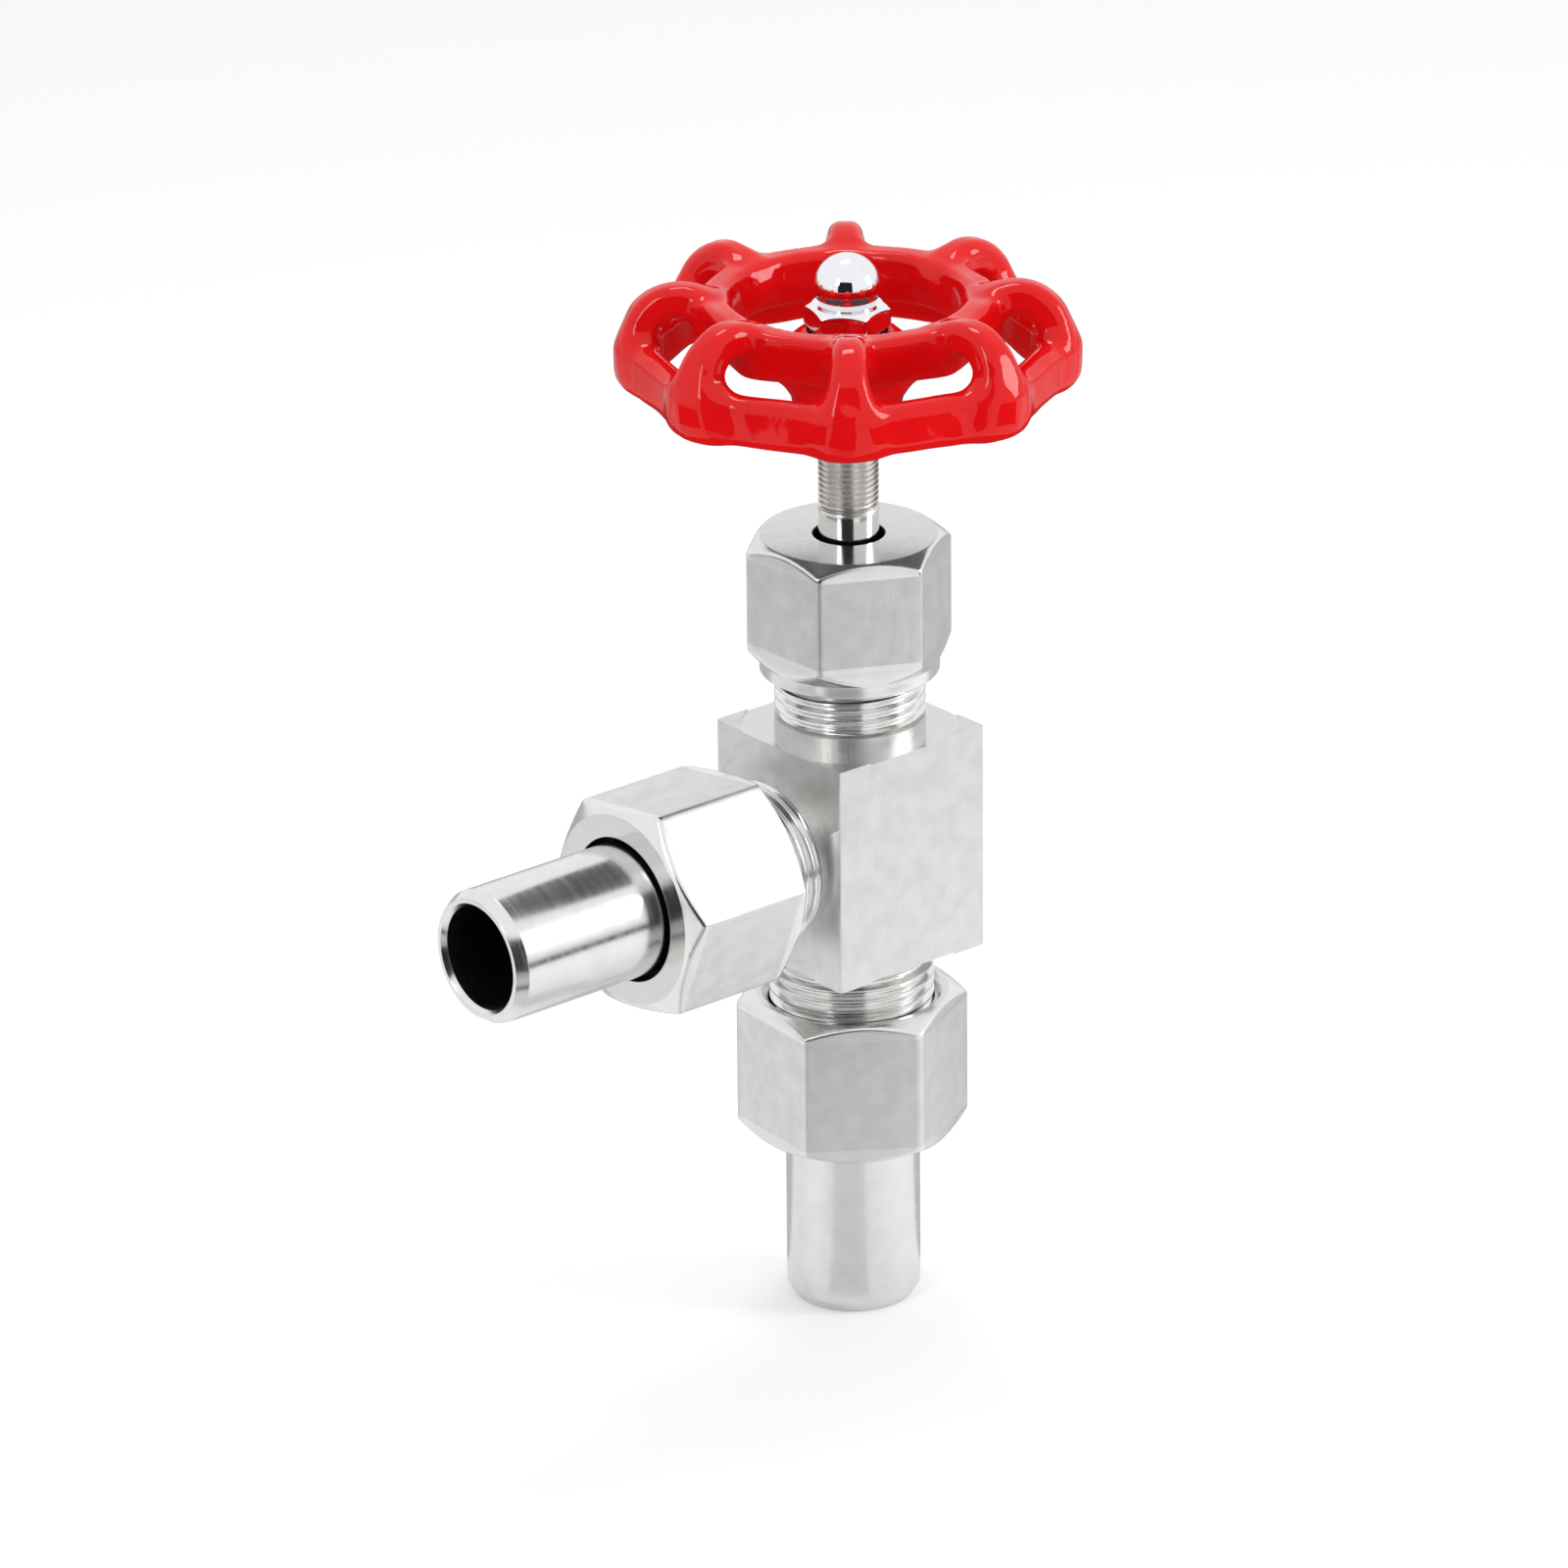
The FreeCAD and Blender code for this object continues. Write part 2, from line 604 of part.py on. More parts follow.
def build_rim(wheel):
    """Outer rim: eight bars, drawn in a little between the arms, rounded all over."""
    rim = add_sketch(wheel, "rim_outline", "XY_Plane")
    add_outline(rim, octagon("rim_corner", "rim_middle"))
    add_outline(rim, octagon("(rim_corner - rim_wall)", "(rim_middle - rim_wall)"))
    feature = wheel.newObject("PartDesign::Pad", "rim")
    feature.Profile = rim
    feature.setExpression("Length", formula("rim_high"))
    finish_feature(wheel, feature, False)

    for name, reach, size in (
            ("rim_corners", "rim_corner", "rim_outer_round"),
            ("rim_inner_corners", "rim_corner - rim_wall", "rim_inner_round"),
            ("rim_bends", "rim_middle", "rim_bend"),
            ("rim_inner_bends", "rim_middle - rim_wall", "rim_bend")):
        feature = round_edges(wheel, "PartDesign::Fillet", name, feature, standing_at(value(reach)), size)
    round_edges(wheel, "PartDesign::Fillet", "rim_rounded", feature, level, "rim_round")


def build_inner_ring(wheel):
    """Eight-sided inner ring that leans outward, with a round opening."""
    foot = add_sketch(wheel, "ring_foot_outline", "XY_Plane", ("0", "0", "ring_low"))
    add_outline(foot, octagon("ring_foot"))
    head = add_sketch(wheel, "ring_head_outline", "XY_Plane", ("0", "0", "ring_low + ring_high"))
    add_outline(head, octagon("ring_head"))
    feature = wheel.newObject("PartDesign::AdditiveLoft", "ring")
    feature.Profile = foot
    feature.Sections = [head]
    finish_feature(wheel, feature, False)
    opening = turn(wheel, "ring_opening", [
        ("0", "ring_low - over"),
        ("ring_bore / 2", "ring_low - over"),
        ("ring_bore / 2", "ring_low + ring_high + over"),
        ("0", "ring_low + ring_high + over")], cuts=True)
    low = value("ring_low")
    high = value("ring_low + ring_high")

    def leaning(edge):
        box = edge.BoundBox
        spans = box.ZMin < low + 0.01 and box.ZMax > high - 0.01
        return spans and abs(edge.Vertexes[0].Z - edge.Vertexes[-1].Z) > 1

    def at_end(edge):
        return level(edge) and min(abs(edge.BoundBox.ZMin - low), abs(edge.BoundBox.ZMin - high)) < 0.01

    corners = round_edges(wheel, "PartDesign::Fillet", "ring_corners", opening, leaning, "ring_corner_round")
    round_edges(wheel, "PartDesign::Fillet", "ring_rounded", corners, at_end, "ring_round")


def build_arms(wheel):
    """Eight arched arms from the inner ring over to the rim."""
    spine = add_sketch(wheel, "arm_spine", "XZ_Plane")
    across = value("arm_line")
    foot = FreeCAD.Vector(across, value("arm_foot"), 0)
    spring = FreeCAD.Vector(across, value("arm_spring"), 0)
    centre = FreeCAD.Vector(value("arm_line - arm_bend"), value("arm_spring"), 0)
    inner = FreeCAD.Vector(value("arm_in"), value("arm_in_high"), 0)
    spine.addGeometry(Part.LineSegment(foot, spring), False)
    circle = Part.Circle(centre, FreeCAD.Vector(0, 0, 1), value("arm_bend"))
    first_sweep = 2.2  # radians, before the tangent line settles it
    spine.addGeometry(Part.ArcOfCircle(circle, 0.0, first_sweep), False)
    leave = spine.Geometry[1].EndPoint
    spine.addGeometry(Part.LineSegment(leave, inner), False)
    pin_point(spine, 0, 1, "arm_line", "arm_foot")
    pin_point(spine, 0, 2, "arm_line", "arm_spring")
    spine.addConstraint(Sketcher.Constraint("Tangent", 0, 2, 1, 1))
    tie = spine.addConstraint(Sketcher.Constraint("Radius", 1, value("arm_bend")))
    spine.setExpression("Constraints[%d]" % tie, formula("arm_bend"))
    spine.addConstraint(Sketcher.Constraint("Tangent", 1, 2, 2, 1))
    pin_point(spine, 2, 2, "arm_in", "arm_in_high")
    section = add_sketch(wheel, "arm_section", "XY_Plane", ("arm_line", "0", "arm_foot"))
    add_outline(section, rounded_bar("arm_radial", "arm_wide", "arm_flat"))
    feature = wheel.newObject("PartDesign::AdditivePipe", "arm")
    feature.Profile = section
    feature.Spine = spine
    feature.Mode = "Standard"
    finish_feature(wheel, feature, False)
    repeat_round(wheel, "arms", feature, 8)


def rounded_bar(deep, wide, flat):
    """Eight corners of a bar whose four edges are cut off."""
    outline = []
    for flip_x, flip_y in ((1, 1), (-1, 1), (-1, -1), (1, -1)):
        pairs = [("%d * %s" % (flip_x, deep), "%d * %s * %s" % (flip_y, wide, flat)),
                 ("%d * %s * %s" % (flip_x, deep, flat), "%d * %s" % (flip_y, wide))]
        outline += pairs if flip_x * flip_y > 0 else pairs[::-1]
    return outline


def build_webs(wheel):
    """Four webs from the inner ring in to the hub."""
    outline = add_sketch(wheel, "web_outline", "XZ_Plane")
    add_outline(outline, [
        ("hub_waist / 2", "hub_low / 3"),
        ("hub_waist", "hub_low / 3"),
        ("ring_bore / 2 + web_bite", "ring_low - web_drop"),
        ("ring_bore / 2 + web_bite", "ring_low + web_rise"),
        ("hub_waist", "hub_top - recess_deep"),
        ("hub_waist / 2", "hub_top - recess_deep")])
    web = wheel.newObject("PartDesign::Pad", "web")
    web.Profile = outline
    web.Midplane = True
    web.setExpression("Length", formula("2 * web_half"))
    finish_feature(wheel, web, False)
    repeat_round(wheel, "webs", web, 4)


def build_hub(wheel):
    """Hub with a flared foot, its bore, square hole and recess."""
    turn(wheel, "hub", [
        ("0", "-hub_low"),
        ("hub_foot", "-hub_low"),
        ("hub_flare", "-hub_low / 3"),
        ("hub_waist", "hub_low / 3"),
        ("hub_waist", "hub_top - 2 * recess_deep"),
        ("hub_head", "hub_top"),
        ("0", "hub_top")])
    turn(wheel, "hub_bore", [
        ("0", "-hub_low - over"),
        ("stem_outer / 2 + fit_gap", "-hub_low - over"),
        ("stem_outer / 2 + fit_gap", "drive_low - wheel_low"),
        ("0", "drive_low - wheel_low")], cuts=True)
    turn(wheel, "hub_recess", [
        ("0", "hub_top - recess_deep"),
        ("recess_bore / 2", "hub_top - recess_deep"),
        ("recess_bore / 2", "hub_top + over"),
        ("0", "hub_top + over")], cuts=True)
    hole = add_sketch(wheel, "square_outline", "XY_Plane", ("0", "0", "hub_top + over"))
    add_outline(hole, square_corners("(drive_half + fit_gap)", "drive_corner"))
    square = wheel.newObject("PartDesign::Pocket", "square_hole")
    square.Profile = hole
    square.setExpression("Length", formula("hub_top + hub_low + 2 * over"))
    finish_feature(wheel, square, True)


def build_handwheel():
    """Cast wheel: rim, inner ring, arched arms, hub and webs."""
    wheel = new_body("handwheel")
    wheel.AllowCompound = True
    build_rim(wheel)
    build_inner_ring(wheel)
    build_arms(wheel)
    build_webs(wheel)
    build_hub(wheel)
    wheel.Placement.Rotation.Axis = FreeCAD.Vector(0, 0, 1)
    wheel.setExpression("Placement.Rotation.Angle", formula("wheel_turn"))
    wheel.setExpression("Placement.Base.z", formula("wheel_base"))
    doc.recompute()


def build_spring_washer():
    """Flat spring washer with a slit, in the hub's recess."""
    body = new_body("spring_washer")
    low = "acorn_low - recess_deep"
    turn(body, "spring_ring", [
        ("spring_bore / 2", low),
        ("spring_outer / 2", low),
        ("spring_outer / 2", low + " + spring_thick"),
        ("spring_bore / 2", low + " + spring_thick")])
    slit = add_sketch(body, "slit_outline", "XY_Plane", ("0", "0", low + " - over"))
    add_outline(slit, [
        ("0", "-spring_slit / 2"),
        ("spring_outer", "-spring_slit / 2"),
        ("spring_outer", "spring_slit / 2"),
        ("0", "spring_slit / 2")])
    cut = body.newObject("PartDesign::Pocket", "spring_cut")
    cut.Profile = slit
    cut.Reversed = True
    cut.setExpression("Length", formula("spring_thick + 2 * over"))
    finish_feature(body, cut, True)


def build_acorn_nut():
    """Domed nut on the stem's threaded tip."""
    body = new_body("acorn_nut")
    low = "acorn_low"
    high = "acorn_low + acorn_hex"
    drop = "(acorn_flats - acorn_face / 2) * tan(nut_slope)"
    pad(body, "acorn_hexagon", hexagon("acorn_flats", "acorn_turn"), "acorn_hex", low)
    turn(body, "acorn_low_chamfer", [
        ("acorn_face / 2", low), ("acorn_flats", low), ("acorn_flats", low + " + " + drop)], cuts=True)
    turn(body, "acorn_high_chamfer", [
        ("acorn_face / 2", high), ("acorn_flats", high), ("acorn_flats", high + " - " + drop)], cuts=True)
    turn(body, "acorn_waist", [
        ("0", high + " - over"),
        ("acorn_neck / 2", high + " - over"),
        ("acorn_neck / 2", "acorn_low + acorn_middle"),
        ("0", "acorn_low + acorn_middle")])
    dome = body.newObject("PartDesign::AdditiveSphere", "acorn_ball")
    support = [feature for feature in body.Origin.OriginFeatures if feature.Role == "XY_Plane"][0]
    dome.AttachmentSupport = (support, "")
    dome.MapMode = "FlatFace"
    dome.setExpression("AttachmentOffset.Base.z", formula("acorn_low + acorn_middle"))
    dome.setExpression("Radius", formula("acorn_dome"))
    finish_feature(body, dome, False)
    turn(body, "acorn_hole", [
        ("0", low + " - over"),
        ("tip_thread / 2 + fit_gap", low + " - over"),
        ("tip_thread / 2 + fit_gap", low + " + acorn_depth"),
        ("0", low + " + acorn_depth")], cuts=True)


build_valve_body()
for place, beside in (("bottom", False), ("side", True)):
    build_tail(place + "_tail", beside)
    build_gasket(place + "_gasket", beside)
    build_union_nut(place + "_union_nut", beside)
build_gland_nut()
build_packing()
build_stem()
build_needle()
build_handwheel()
build_spring_washer()
build_acorn_nut()
doc.recompute()

failed = [item.Name for item in doc.Objects if "Invalid" in item.State or "Error" in item.State]
if failed:
    raise RuntimeError("not built: " + ", ".join(failed))
pieces = [item for item in doc.Objects if item.TypeId in ("PartDesign::Body", "Part::Sphere", "Part::Torus")]
for piece in pieces:
    if piece.Shape.isNull() or not piece.Shape.isValid() or len(piece.Shape.Solids) != 1:
        raise RuntimeError("bad shape: " + piece.Label)
os.makedirs("parts", exist_ok=True)
for piece in pieces:
    piece.Shape.exportStep("parts/" + piece.Label + ".step")
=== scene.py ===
import bpy
import bmesh
import math
import numpy as np
from mathutils import Matrix, Vector


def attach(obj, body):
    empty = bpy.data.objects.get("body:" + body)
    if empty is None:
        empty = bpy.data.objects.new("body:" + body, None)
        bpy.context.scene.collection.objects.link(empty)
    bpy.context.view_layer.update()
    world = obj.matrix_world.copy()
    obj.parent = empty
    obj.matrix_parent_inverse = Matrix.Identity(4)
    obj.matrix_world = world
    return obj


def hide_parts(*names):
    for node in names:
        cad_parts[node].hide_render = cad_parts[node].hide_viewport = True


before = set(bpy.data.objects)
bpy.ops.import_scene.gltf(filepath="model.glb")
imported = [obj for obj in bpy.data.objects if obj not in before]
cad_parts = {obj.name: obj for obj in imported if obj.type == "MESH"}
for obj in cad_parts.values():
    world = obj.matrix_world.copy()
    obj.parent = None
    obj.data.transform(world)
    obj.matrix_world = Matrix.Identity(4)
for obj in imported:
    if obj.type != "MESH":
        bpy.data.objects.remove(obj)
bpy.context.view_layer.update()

# Lengths are in millimetres until a mesh is made. The origin is the middle of the
# bottom tail's end face, +Z runs up the stem and the side branch points along -X.
MM = 0.001
SIDE_AXIS, SIDE_REACH = 66.6, 63.4
BLOCK_LOW, BLOCK_HIGH, BLOCK_HALF = 50.9, 82.3, 12.5
PORT_RADIUS, ORIFICE_RADIUS = 6.5, 3.0
STUB_END, STUB_RADIUS, TOP_STUB_RADIUS = 34.7, 11.0, 10.0
STUB_PITCH, THREAD_DEPTH = 1.5, 0.8
TOP_NECK, UNION_NECK = 1.6, 1.3
NUT_LOW, NUT_HEIGHT, NUT_FLATS = 24.2, 20.0, 27.0
GLAND_LOW, GLAND_HIGH, GLAND_FLATS = 89.5, 109.15, 24.0
STEM_RADIUS, TIP_RADIUS = 4.0, 3.0
THREAD_START, THREAD_END = 112.5, 129.45
WHEEL_BASE, HUB_TOP = 129.95, 137.55
ROWS_A_TURN = 14
LONGEST_RUN = 0.45


# Materials

def node(tree, kind, place=(0, 0), **inputs):
    """A shader node with some of its inputs set."""
    made = tree.nodes.new(kind)
    made.location = place
    for name, setting in inputs.items():
        made.inputs[name.replace("_", " ")].default_value = setting
    return made


def new_material(name, colour, metallic, roughness, **settings):
    """A material with its principled shader, ready for its patterns."""
    material = bpy.data.materials.new(name)
    material.use_nodes = True
    tree = material.node_tree
    shader = tree.nodes["Principled BSDF"]
    shader.inputs["Base Color"].default_value = (*colour, 1)
    shader.inputs["Metallic"].default_value = metallic
    shader.inputs["Roughness"].default_value = roughness
    for label, setting in settings.items():
        shader.inputs[label.replace("_", " ")].default_value = setting
    return material, tree, shader


def pattern(tree, stretch, scale, detail=3.0, kind="ShaderNodeTexNoise"):
    """Noise over the piece, stretched along its axes."""
    place = tree.nodes.new("ShaderNodeTexCoord")
    mapping = tree.nodes.new("ShaderNodeMapping")
    mapping.inputs["Scale"].default_value = stretch
    noise = tree.nodes.new(kind)
    noise.inputs["Scale"].default_value = scale
    noise.inputs["Detail"].default_value = detail
    tree.links.new(place.outputs["Object"], mapping.inputs["Vector"])
    tree.links.new(mapping.outputs["Vector"], noise.inputs["Vector"])
    return noise.outputs[0]


def spread(tree, source, low, high, to_low, to_high):
    """Map one range of a value onto another."""
    reach = tree.nodes.new("ShaderNodeMapRange")
    for name, setting in (("From Min", low), ("From Max", high), ("To Min", to_low), ("To Max", to_high)):
        reach.inputs[name].default_value = setting
    tree.links.new(source, reach.inputs["Value"])
    return reach.outputs["Result"]


def tint(tree, source, first, second):
    """A colour between two, by a value."""
    mix = tree.nodes.new("ShaderNodeMix")
    mix.data_type = "RGBA"
    mix.inputs["A"].default_value = (*first, 1)
    mix.inputs["B"].default_value = (*second, 1)
    tree.links.new(source, mix.inputs["Factor"])
    return mix.outputs["Result"]


def raise_bump(tree, shader, source, strength, distance):
    """Let a value raise the surface."""
    bump = tree.nodes.new("ShaderNodeBump")
    bump.inputs["Strength"].default_value = strength
    bump.inputs["Distance"].default_value = distance
    tree.links.new(source, bump.inputs["Height"])
    tree.links.new(bump.outputs["Normal"], shader.inputs["Normal"])


def steel(name, grain, colour, shine, depth=0.00002, mottle=0.05):
    """Machined stainless steel with its tool marks along one direction."""
    material, tree, shader = new_material(name, colour, 1.0, shine)
    marks = pattern(tree, grain, 3000.0, 2.0)
    cloud = pattern(tree, (1, 1, 1), 380.0, 5.0)
    low = tuple(c * (1 - mottle) for c in colour)
    high = tuple(min(1.0, c * (1 + mottle)) for c in colour)
    mottled = tint(tree, spread(tree, cloud, 0.35, 0.65, 0, 1), low, high)
    tree.links.new(mottled, shader.inputs["Base Color"])
    tree.links.new(spread(tree, marks, 0.3, 0.7, 0.85 * shine, 1.15 * shine), shader.inputs["Roughness"])
    raise_bump(tree, shader, marks, 0.4, depth)
    return material


BAR, TURNED = (0.70, 0.70, 0.69), (0.78, 0.78, 0.77)
bar_steel = steel("drawn_bar_steel", (1.0, 1.0, 0.06), BAR, 0.40)
side_bar_steel = steel("drawn_bar_steel_sideways", (0.06, 1.0, 1.0), BAR, 0.36)
turned_steel = steel("turned_steel", (0.02, 0.02, 1.0), TURNED, 0.24, 0.000008, 0.03)
fine_thread_steel = steel("fine_thread_steel", (0.3, 0.3, 1.0), (0.80, 0.77, 0.74), 0.30, 0.000004, 0.03)
side_turned_steel = steel("turned_steel_sideways", (1.0, 0.02, 0.02), TURNED, 0.20, 0.000008, 0.03)
satin_steel = steel("satin_steel", (0.06, 1.0, 1.0), BAR, 0.45, 0.00001, 0.03)
faced_steel = steel("faced_steel", (0.5, 0.5, 0.5), (0.68, 0.68, 0.67), 0.17, 0.00001, 0.02)
stem_steel = steel("ground_stem_steel", (0.02, 0.02, 1.0), TURNED, 0.12, 0.00001, 0.02)
thread_steel = steel("thread_steel", (0.3, 0.3, 1.0), (0.80, 0.80, 0.79), 0.17, 0.000002, 0.03)
# Bores, holes and inner threads are painted near black: painted shade for their insides, not a darker steel.
painted_shade_bore = steel("painted_shade_bore_steel", (0.3, 0.3, 0.3), (0.05, 0.05, 0.05), 0.45)


def make_enamel():
    """Thick glossy enamel over rough iron."""
    material, tree, shader = new_material("red_enamel", (0.74, 0.005, 0.007), 0.0, 0.05)
    shader.inputs["Specular IOR Level"].default_value = 0.28
    peel = pattern(tree, (1, 1, 1), 300.0, 2.0)
    thick = pattern(tree, (1, 1, 1), 90.0, 2.0)
    thin_red, thick_red = (0.71, 0.004, 0.005), (0.77, 0.006, 0.008)
    pooled = tint(tree, spread(tree, thick, 0.3, 0.7, 0, 1), thin_red, thick_red)
    tree.links.new(pooled, shader.inputs["Base Color"])
    raise_bump(tree, shader, peel, 0.2, 0.00015)
    return material


def make_plain(name, colour, metallic, roughness, low=0.85, high=1.1):
    """A simple finish with a slight cloudiness, for small and hidden pieces."""
    material, tree, shader = new_material(name, colour, metallic, roughness)
    cloud = pattern(tree, (1, 1, 1), 500.0, 3.0)
    darker = tuple(c * low for c in colour)
    lighter = tuple(min(1.0, c * high) for c in colour)
    clouded = tint(tree, spread(tree, cloud, 0.3, 0.7, 0, 1), darker, lighter)
    tree.links.new(clouded, shader.inputs["Base Color"])
    raise_bump(tree, shader, cloud, 0.2, 0.00002)
    return material


red_enamel = make_enamel()
chrome = make_plain("chrome_plate", (0.86, 0.87, 0.90), 1.0, 0.04, 0.98, 1.02)
dark_spring = make_plain("spring_steel", (0.30, 0.31, 0.33), 1.0, 0.35)
packing_white = make_plain("packing_ring_white", (0.86, 0.85, 0.82), 0.0, 0.55)
gasket_grey = make_plain("gasket_fibre_grey", (0.42, 0.42, 0.40), 0.0, 0.8)


# Meshes

def piece_from(name, points, faces, materials, slots=None):
    """A smooth mesh object from points in millimetres."""
    mesh = bpy.data.meshes.new(name)
    mesh.from_pydata((np.asarray(points, float) * MM).tolist(), [], faces)
    for material in materials:
        mesh.materials.append(material)
    if slots is not None:
        mesh.polygons.foreach_set("material_index", slots)
    mesh.polygons.foreach_set("use_smooth", [True] * len(mesh.polygons))
    mesh.update()
    made = bpy.data.objects.new(name, mesh)
    bpy.context.scene.collection.objects.link(made)
    return made


def bake(piece):
    """Turn a piece with modifiers into a plain mesh of the same name."""
    graph = bpy.context.evaluated_depsgraph_get()
    mesh = bpy.data.meshes.new_from_object(piece.evaluated_get(graph))
    piece.modifiers.clear()
    piece.data = mesh
    return piece


def soften(corners, closed):
    """Round the corners of an outline of (radius, along, rounding, finish) and cut long runs short.

    The finish is that of the run that begins at the corner."""
    points, finishes = [], []
    count = len(corners)
    for index, (radius, along, rounding, finish) in enumerate(corners):
        here = np.array([radius, along], float)
        before = np.array(corners[index - 1][:2], float)
        after = np.array(corners[(index + 1) % count][:2], float)
        at_end = not closed and index in (0, count - 1)
        if rounding <= 0 or at_end:
            points.append(here)
            finishes.append(finish)
            continue
        back, ahead = before - here, after - here
        back_long, ahead_long = np.linalg.norm(back), np.linalg.norm(ahead)
        back, ahead = back / back_long, ahead / ahead_long
        half = math.acos(max(-1.0, min(1.0, float(back @ ahead)))) / 2
        reach = min(rounding / math.tan(half), 0.45 * back_long, 0.45 * ahead_long)
        size = reach * math.tan(half)
        middle = here + (back + ahead) / np.linalg.norm(back + ahead) * (size / math.sin(half))
        start, end = here + back * reach, here + ahead * reach
        first = start - middle
        sweep = math.pi - 2 * half
        turning = 1 if first[0] * (end - middle)[1] - first[1] * (end - middle)[0] > 0 else -1
        steps = 4
        for step in range(steps + 1):
            angle = turning * sweep * step / steps
            spun = (first[0] * math.cos(angle) - first[1] * math.sin(angle),
                    first[0] * math.sin(angle) + first[1] * math.cos(angle))
            points.append(middle + np.array(spun))
            finishes.append(finish)
    return points, finishes


def split_runs(points, finishes, closed, longest):
    """Add points so that no run is longer than a length."""
    new_points, new_finishes = [], []
    count = len(points)
    for index in range(count if closed else count - 1):
        first, second = points[index], points[(index + 1) % count]
        parts = max(1, math.ceil(float(np.linalg.norm(second - first)) / longest))
        for part in range(parts):
            new_points.append(first + (second - first) * part / parts)
            new_finishes.append(finishes[index])
    if not closed:
        new_points.append(points[-1])
        new_finishes.append(finishes[-1])
    return new_points, new_finishes


def hexagon_reach(angles, flats, corner):
    """How far a hexagon with slightly worn corners reaches at each angle."""
    sharpness = 90.0
    total = np.zeros_like(angles)
    for side in range(6):
        facing = math.radians(corner + 30 + 60 * side)
        total += np.clip(np.cos(angles - facing), 0, None) ** sharpness
    return flats / 2 / total ** (1 / sharpness)


def corner_angles(corner, steps=14):
    """Angles round a hexagon, closer together at its corners."""
    offsets = np.linspace(-1, 1, 2 * steps + 1)[:-1]
    offsets = 30 * np.sign(offsets) * np.abs(offsets) ** 1.6
    return np.radians(np.concatenate([corner + 60 * side + offsets for side in range(6)]))


def lathe(name, corners, materials, closed=True, flats=None, corner=0.0, sides=192, longest=None):
    """Turn an outline round Z, and mill it to a hexagon if its flats are given."""
    points, finishes = soften(corners, closed)
    if longest:
        points, finishes = split_runs(points, finishes, closed, longest)
    if flats:
        angles = corner_angles(corner)
        limit = hexagon_reach(angles, flats, corner)
        soft = 0.12
    else:
        angles = np.arange(sides) * 2 * math.pi / sides
    columns = len(angles)
    verts, rings = [], []
    for radius, along in points:
        if radius < 1e-6:
            rings.append([len(verts)])
            verts.append((0.0, 0.0, along))
            continue
        reach = np.full(columns, radius)
        if flats:
            gap = np.abs(reach - limit)
            reach = np.minimum(reach, limit) - soft * np.log1p(np.exp(-gap / soft))
        rings.append(list(range(len(verts), len(verts) + columns)))
        verts += [(r * math.cos(a), r * math.sin(a), along) for r, a in zip(reach, angles)]
    faces, slots = [], []
    for index in range(len(rings) if closed else len(rings) - 1):
        low, high = rings[index], rings[(index + 1) % len(rings)]
        for column in range(columns):
            after = (column + 1) % columns
            if len(low) == 1:
                faces.append((low[0], high[after], high[column]))
            elif len(high) == 1:
                faces.append((low[column], low[after], high[0]))
            else:
                faces.append((low[column], low[after], high[after], high[column]))
            slots.append(finishes[index])
    made = piece_from(name, verts, faces, materials, slots)
    face_outwards(made)
    made.modifiers.new("even_normals", "WEIGHTED_NORMAL").keep_sharp = True
    return bake(made)


def face_outwards(piece):
    """Point all faces outwards."""
    work = bmesh.new()
    work.from_mesh(piece.data)
    bmesh.ops.remove_doubles(work, verts=work.verts, dist=1e-7)
    bmesh.ops.recalc_face_normals(work, faces=work.faces)
    work.to_mesh(piece.data)
    work.free()


# A piece turned round Z from its tail's end goes to the side branch: its Z becomes the
# branch's direction inwards.
TO_SIDE = Matrix(((0, 0, 1, -SIDE_REACH * MM), (1, 0, 0, 0), (0, 1, 0, SIDE_AXIS * MM), (0, 0, 0, 1)))


def to_side(piece):
    """Move a piece's mesh from the bottom branch's place to the side branch."""
    piece.data.transform(TO_SIDE)
    return piece


# Threads

def link(tree, source, target):
    tree.links.new(source, target)


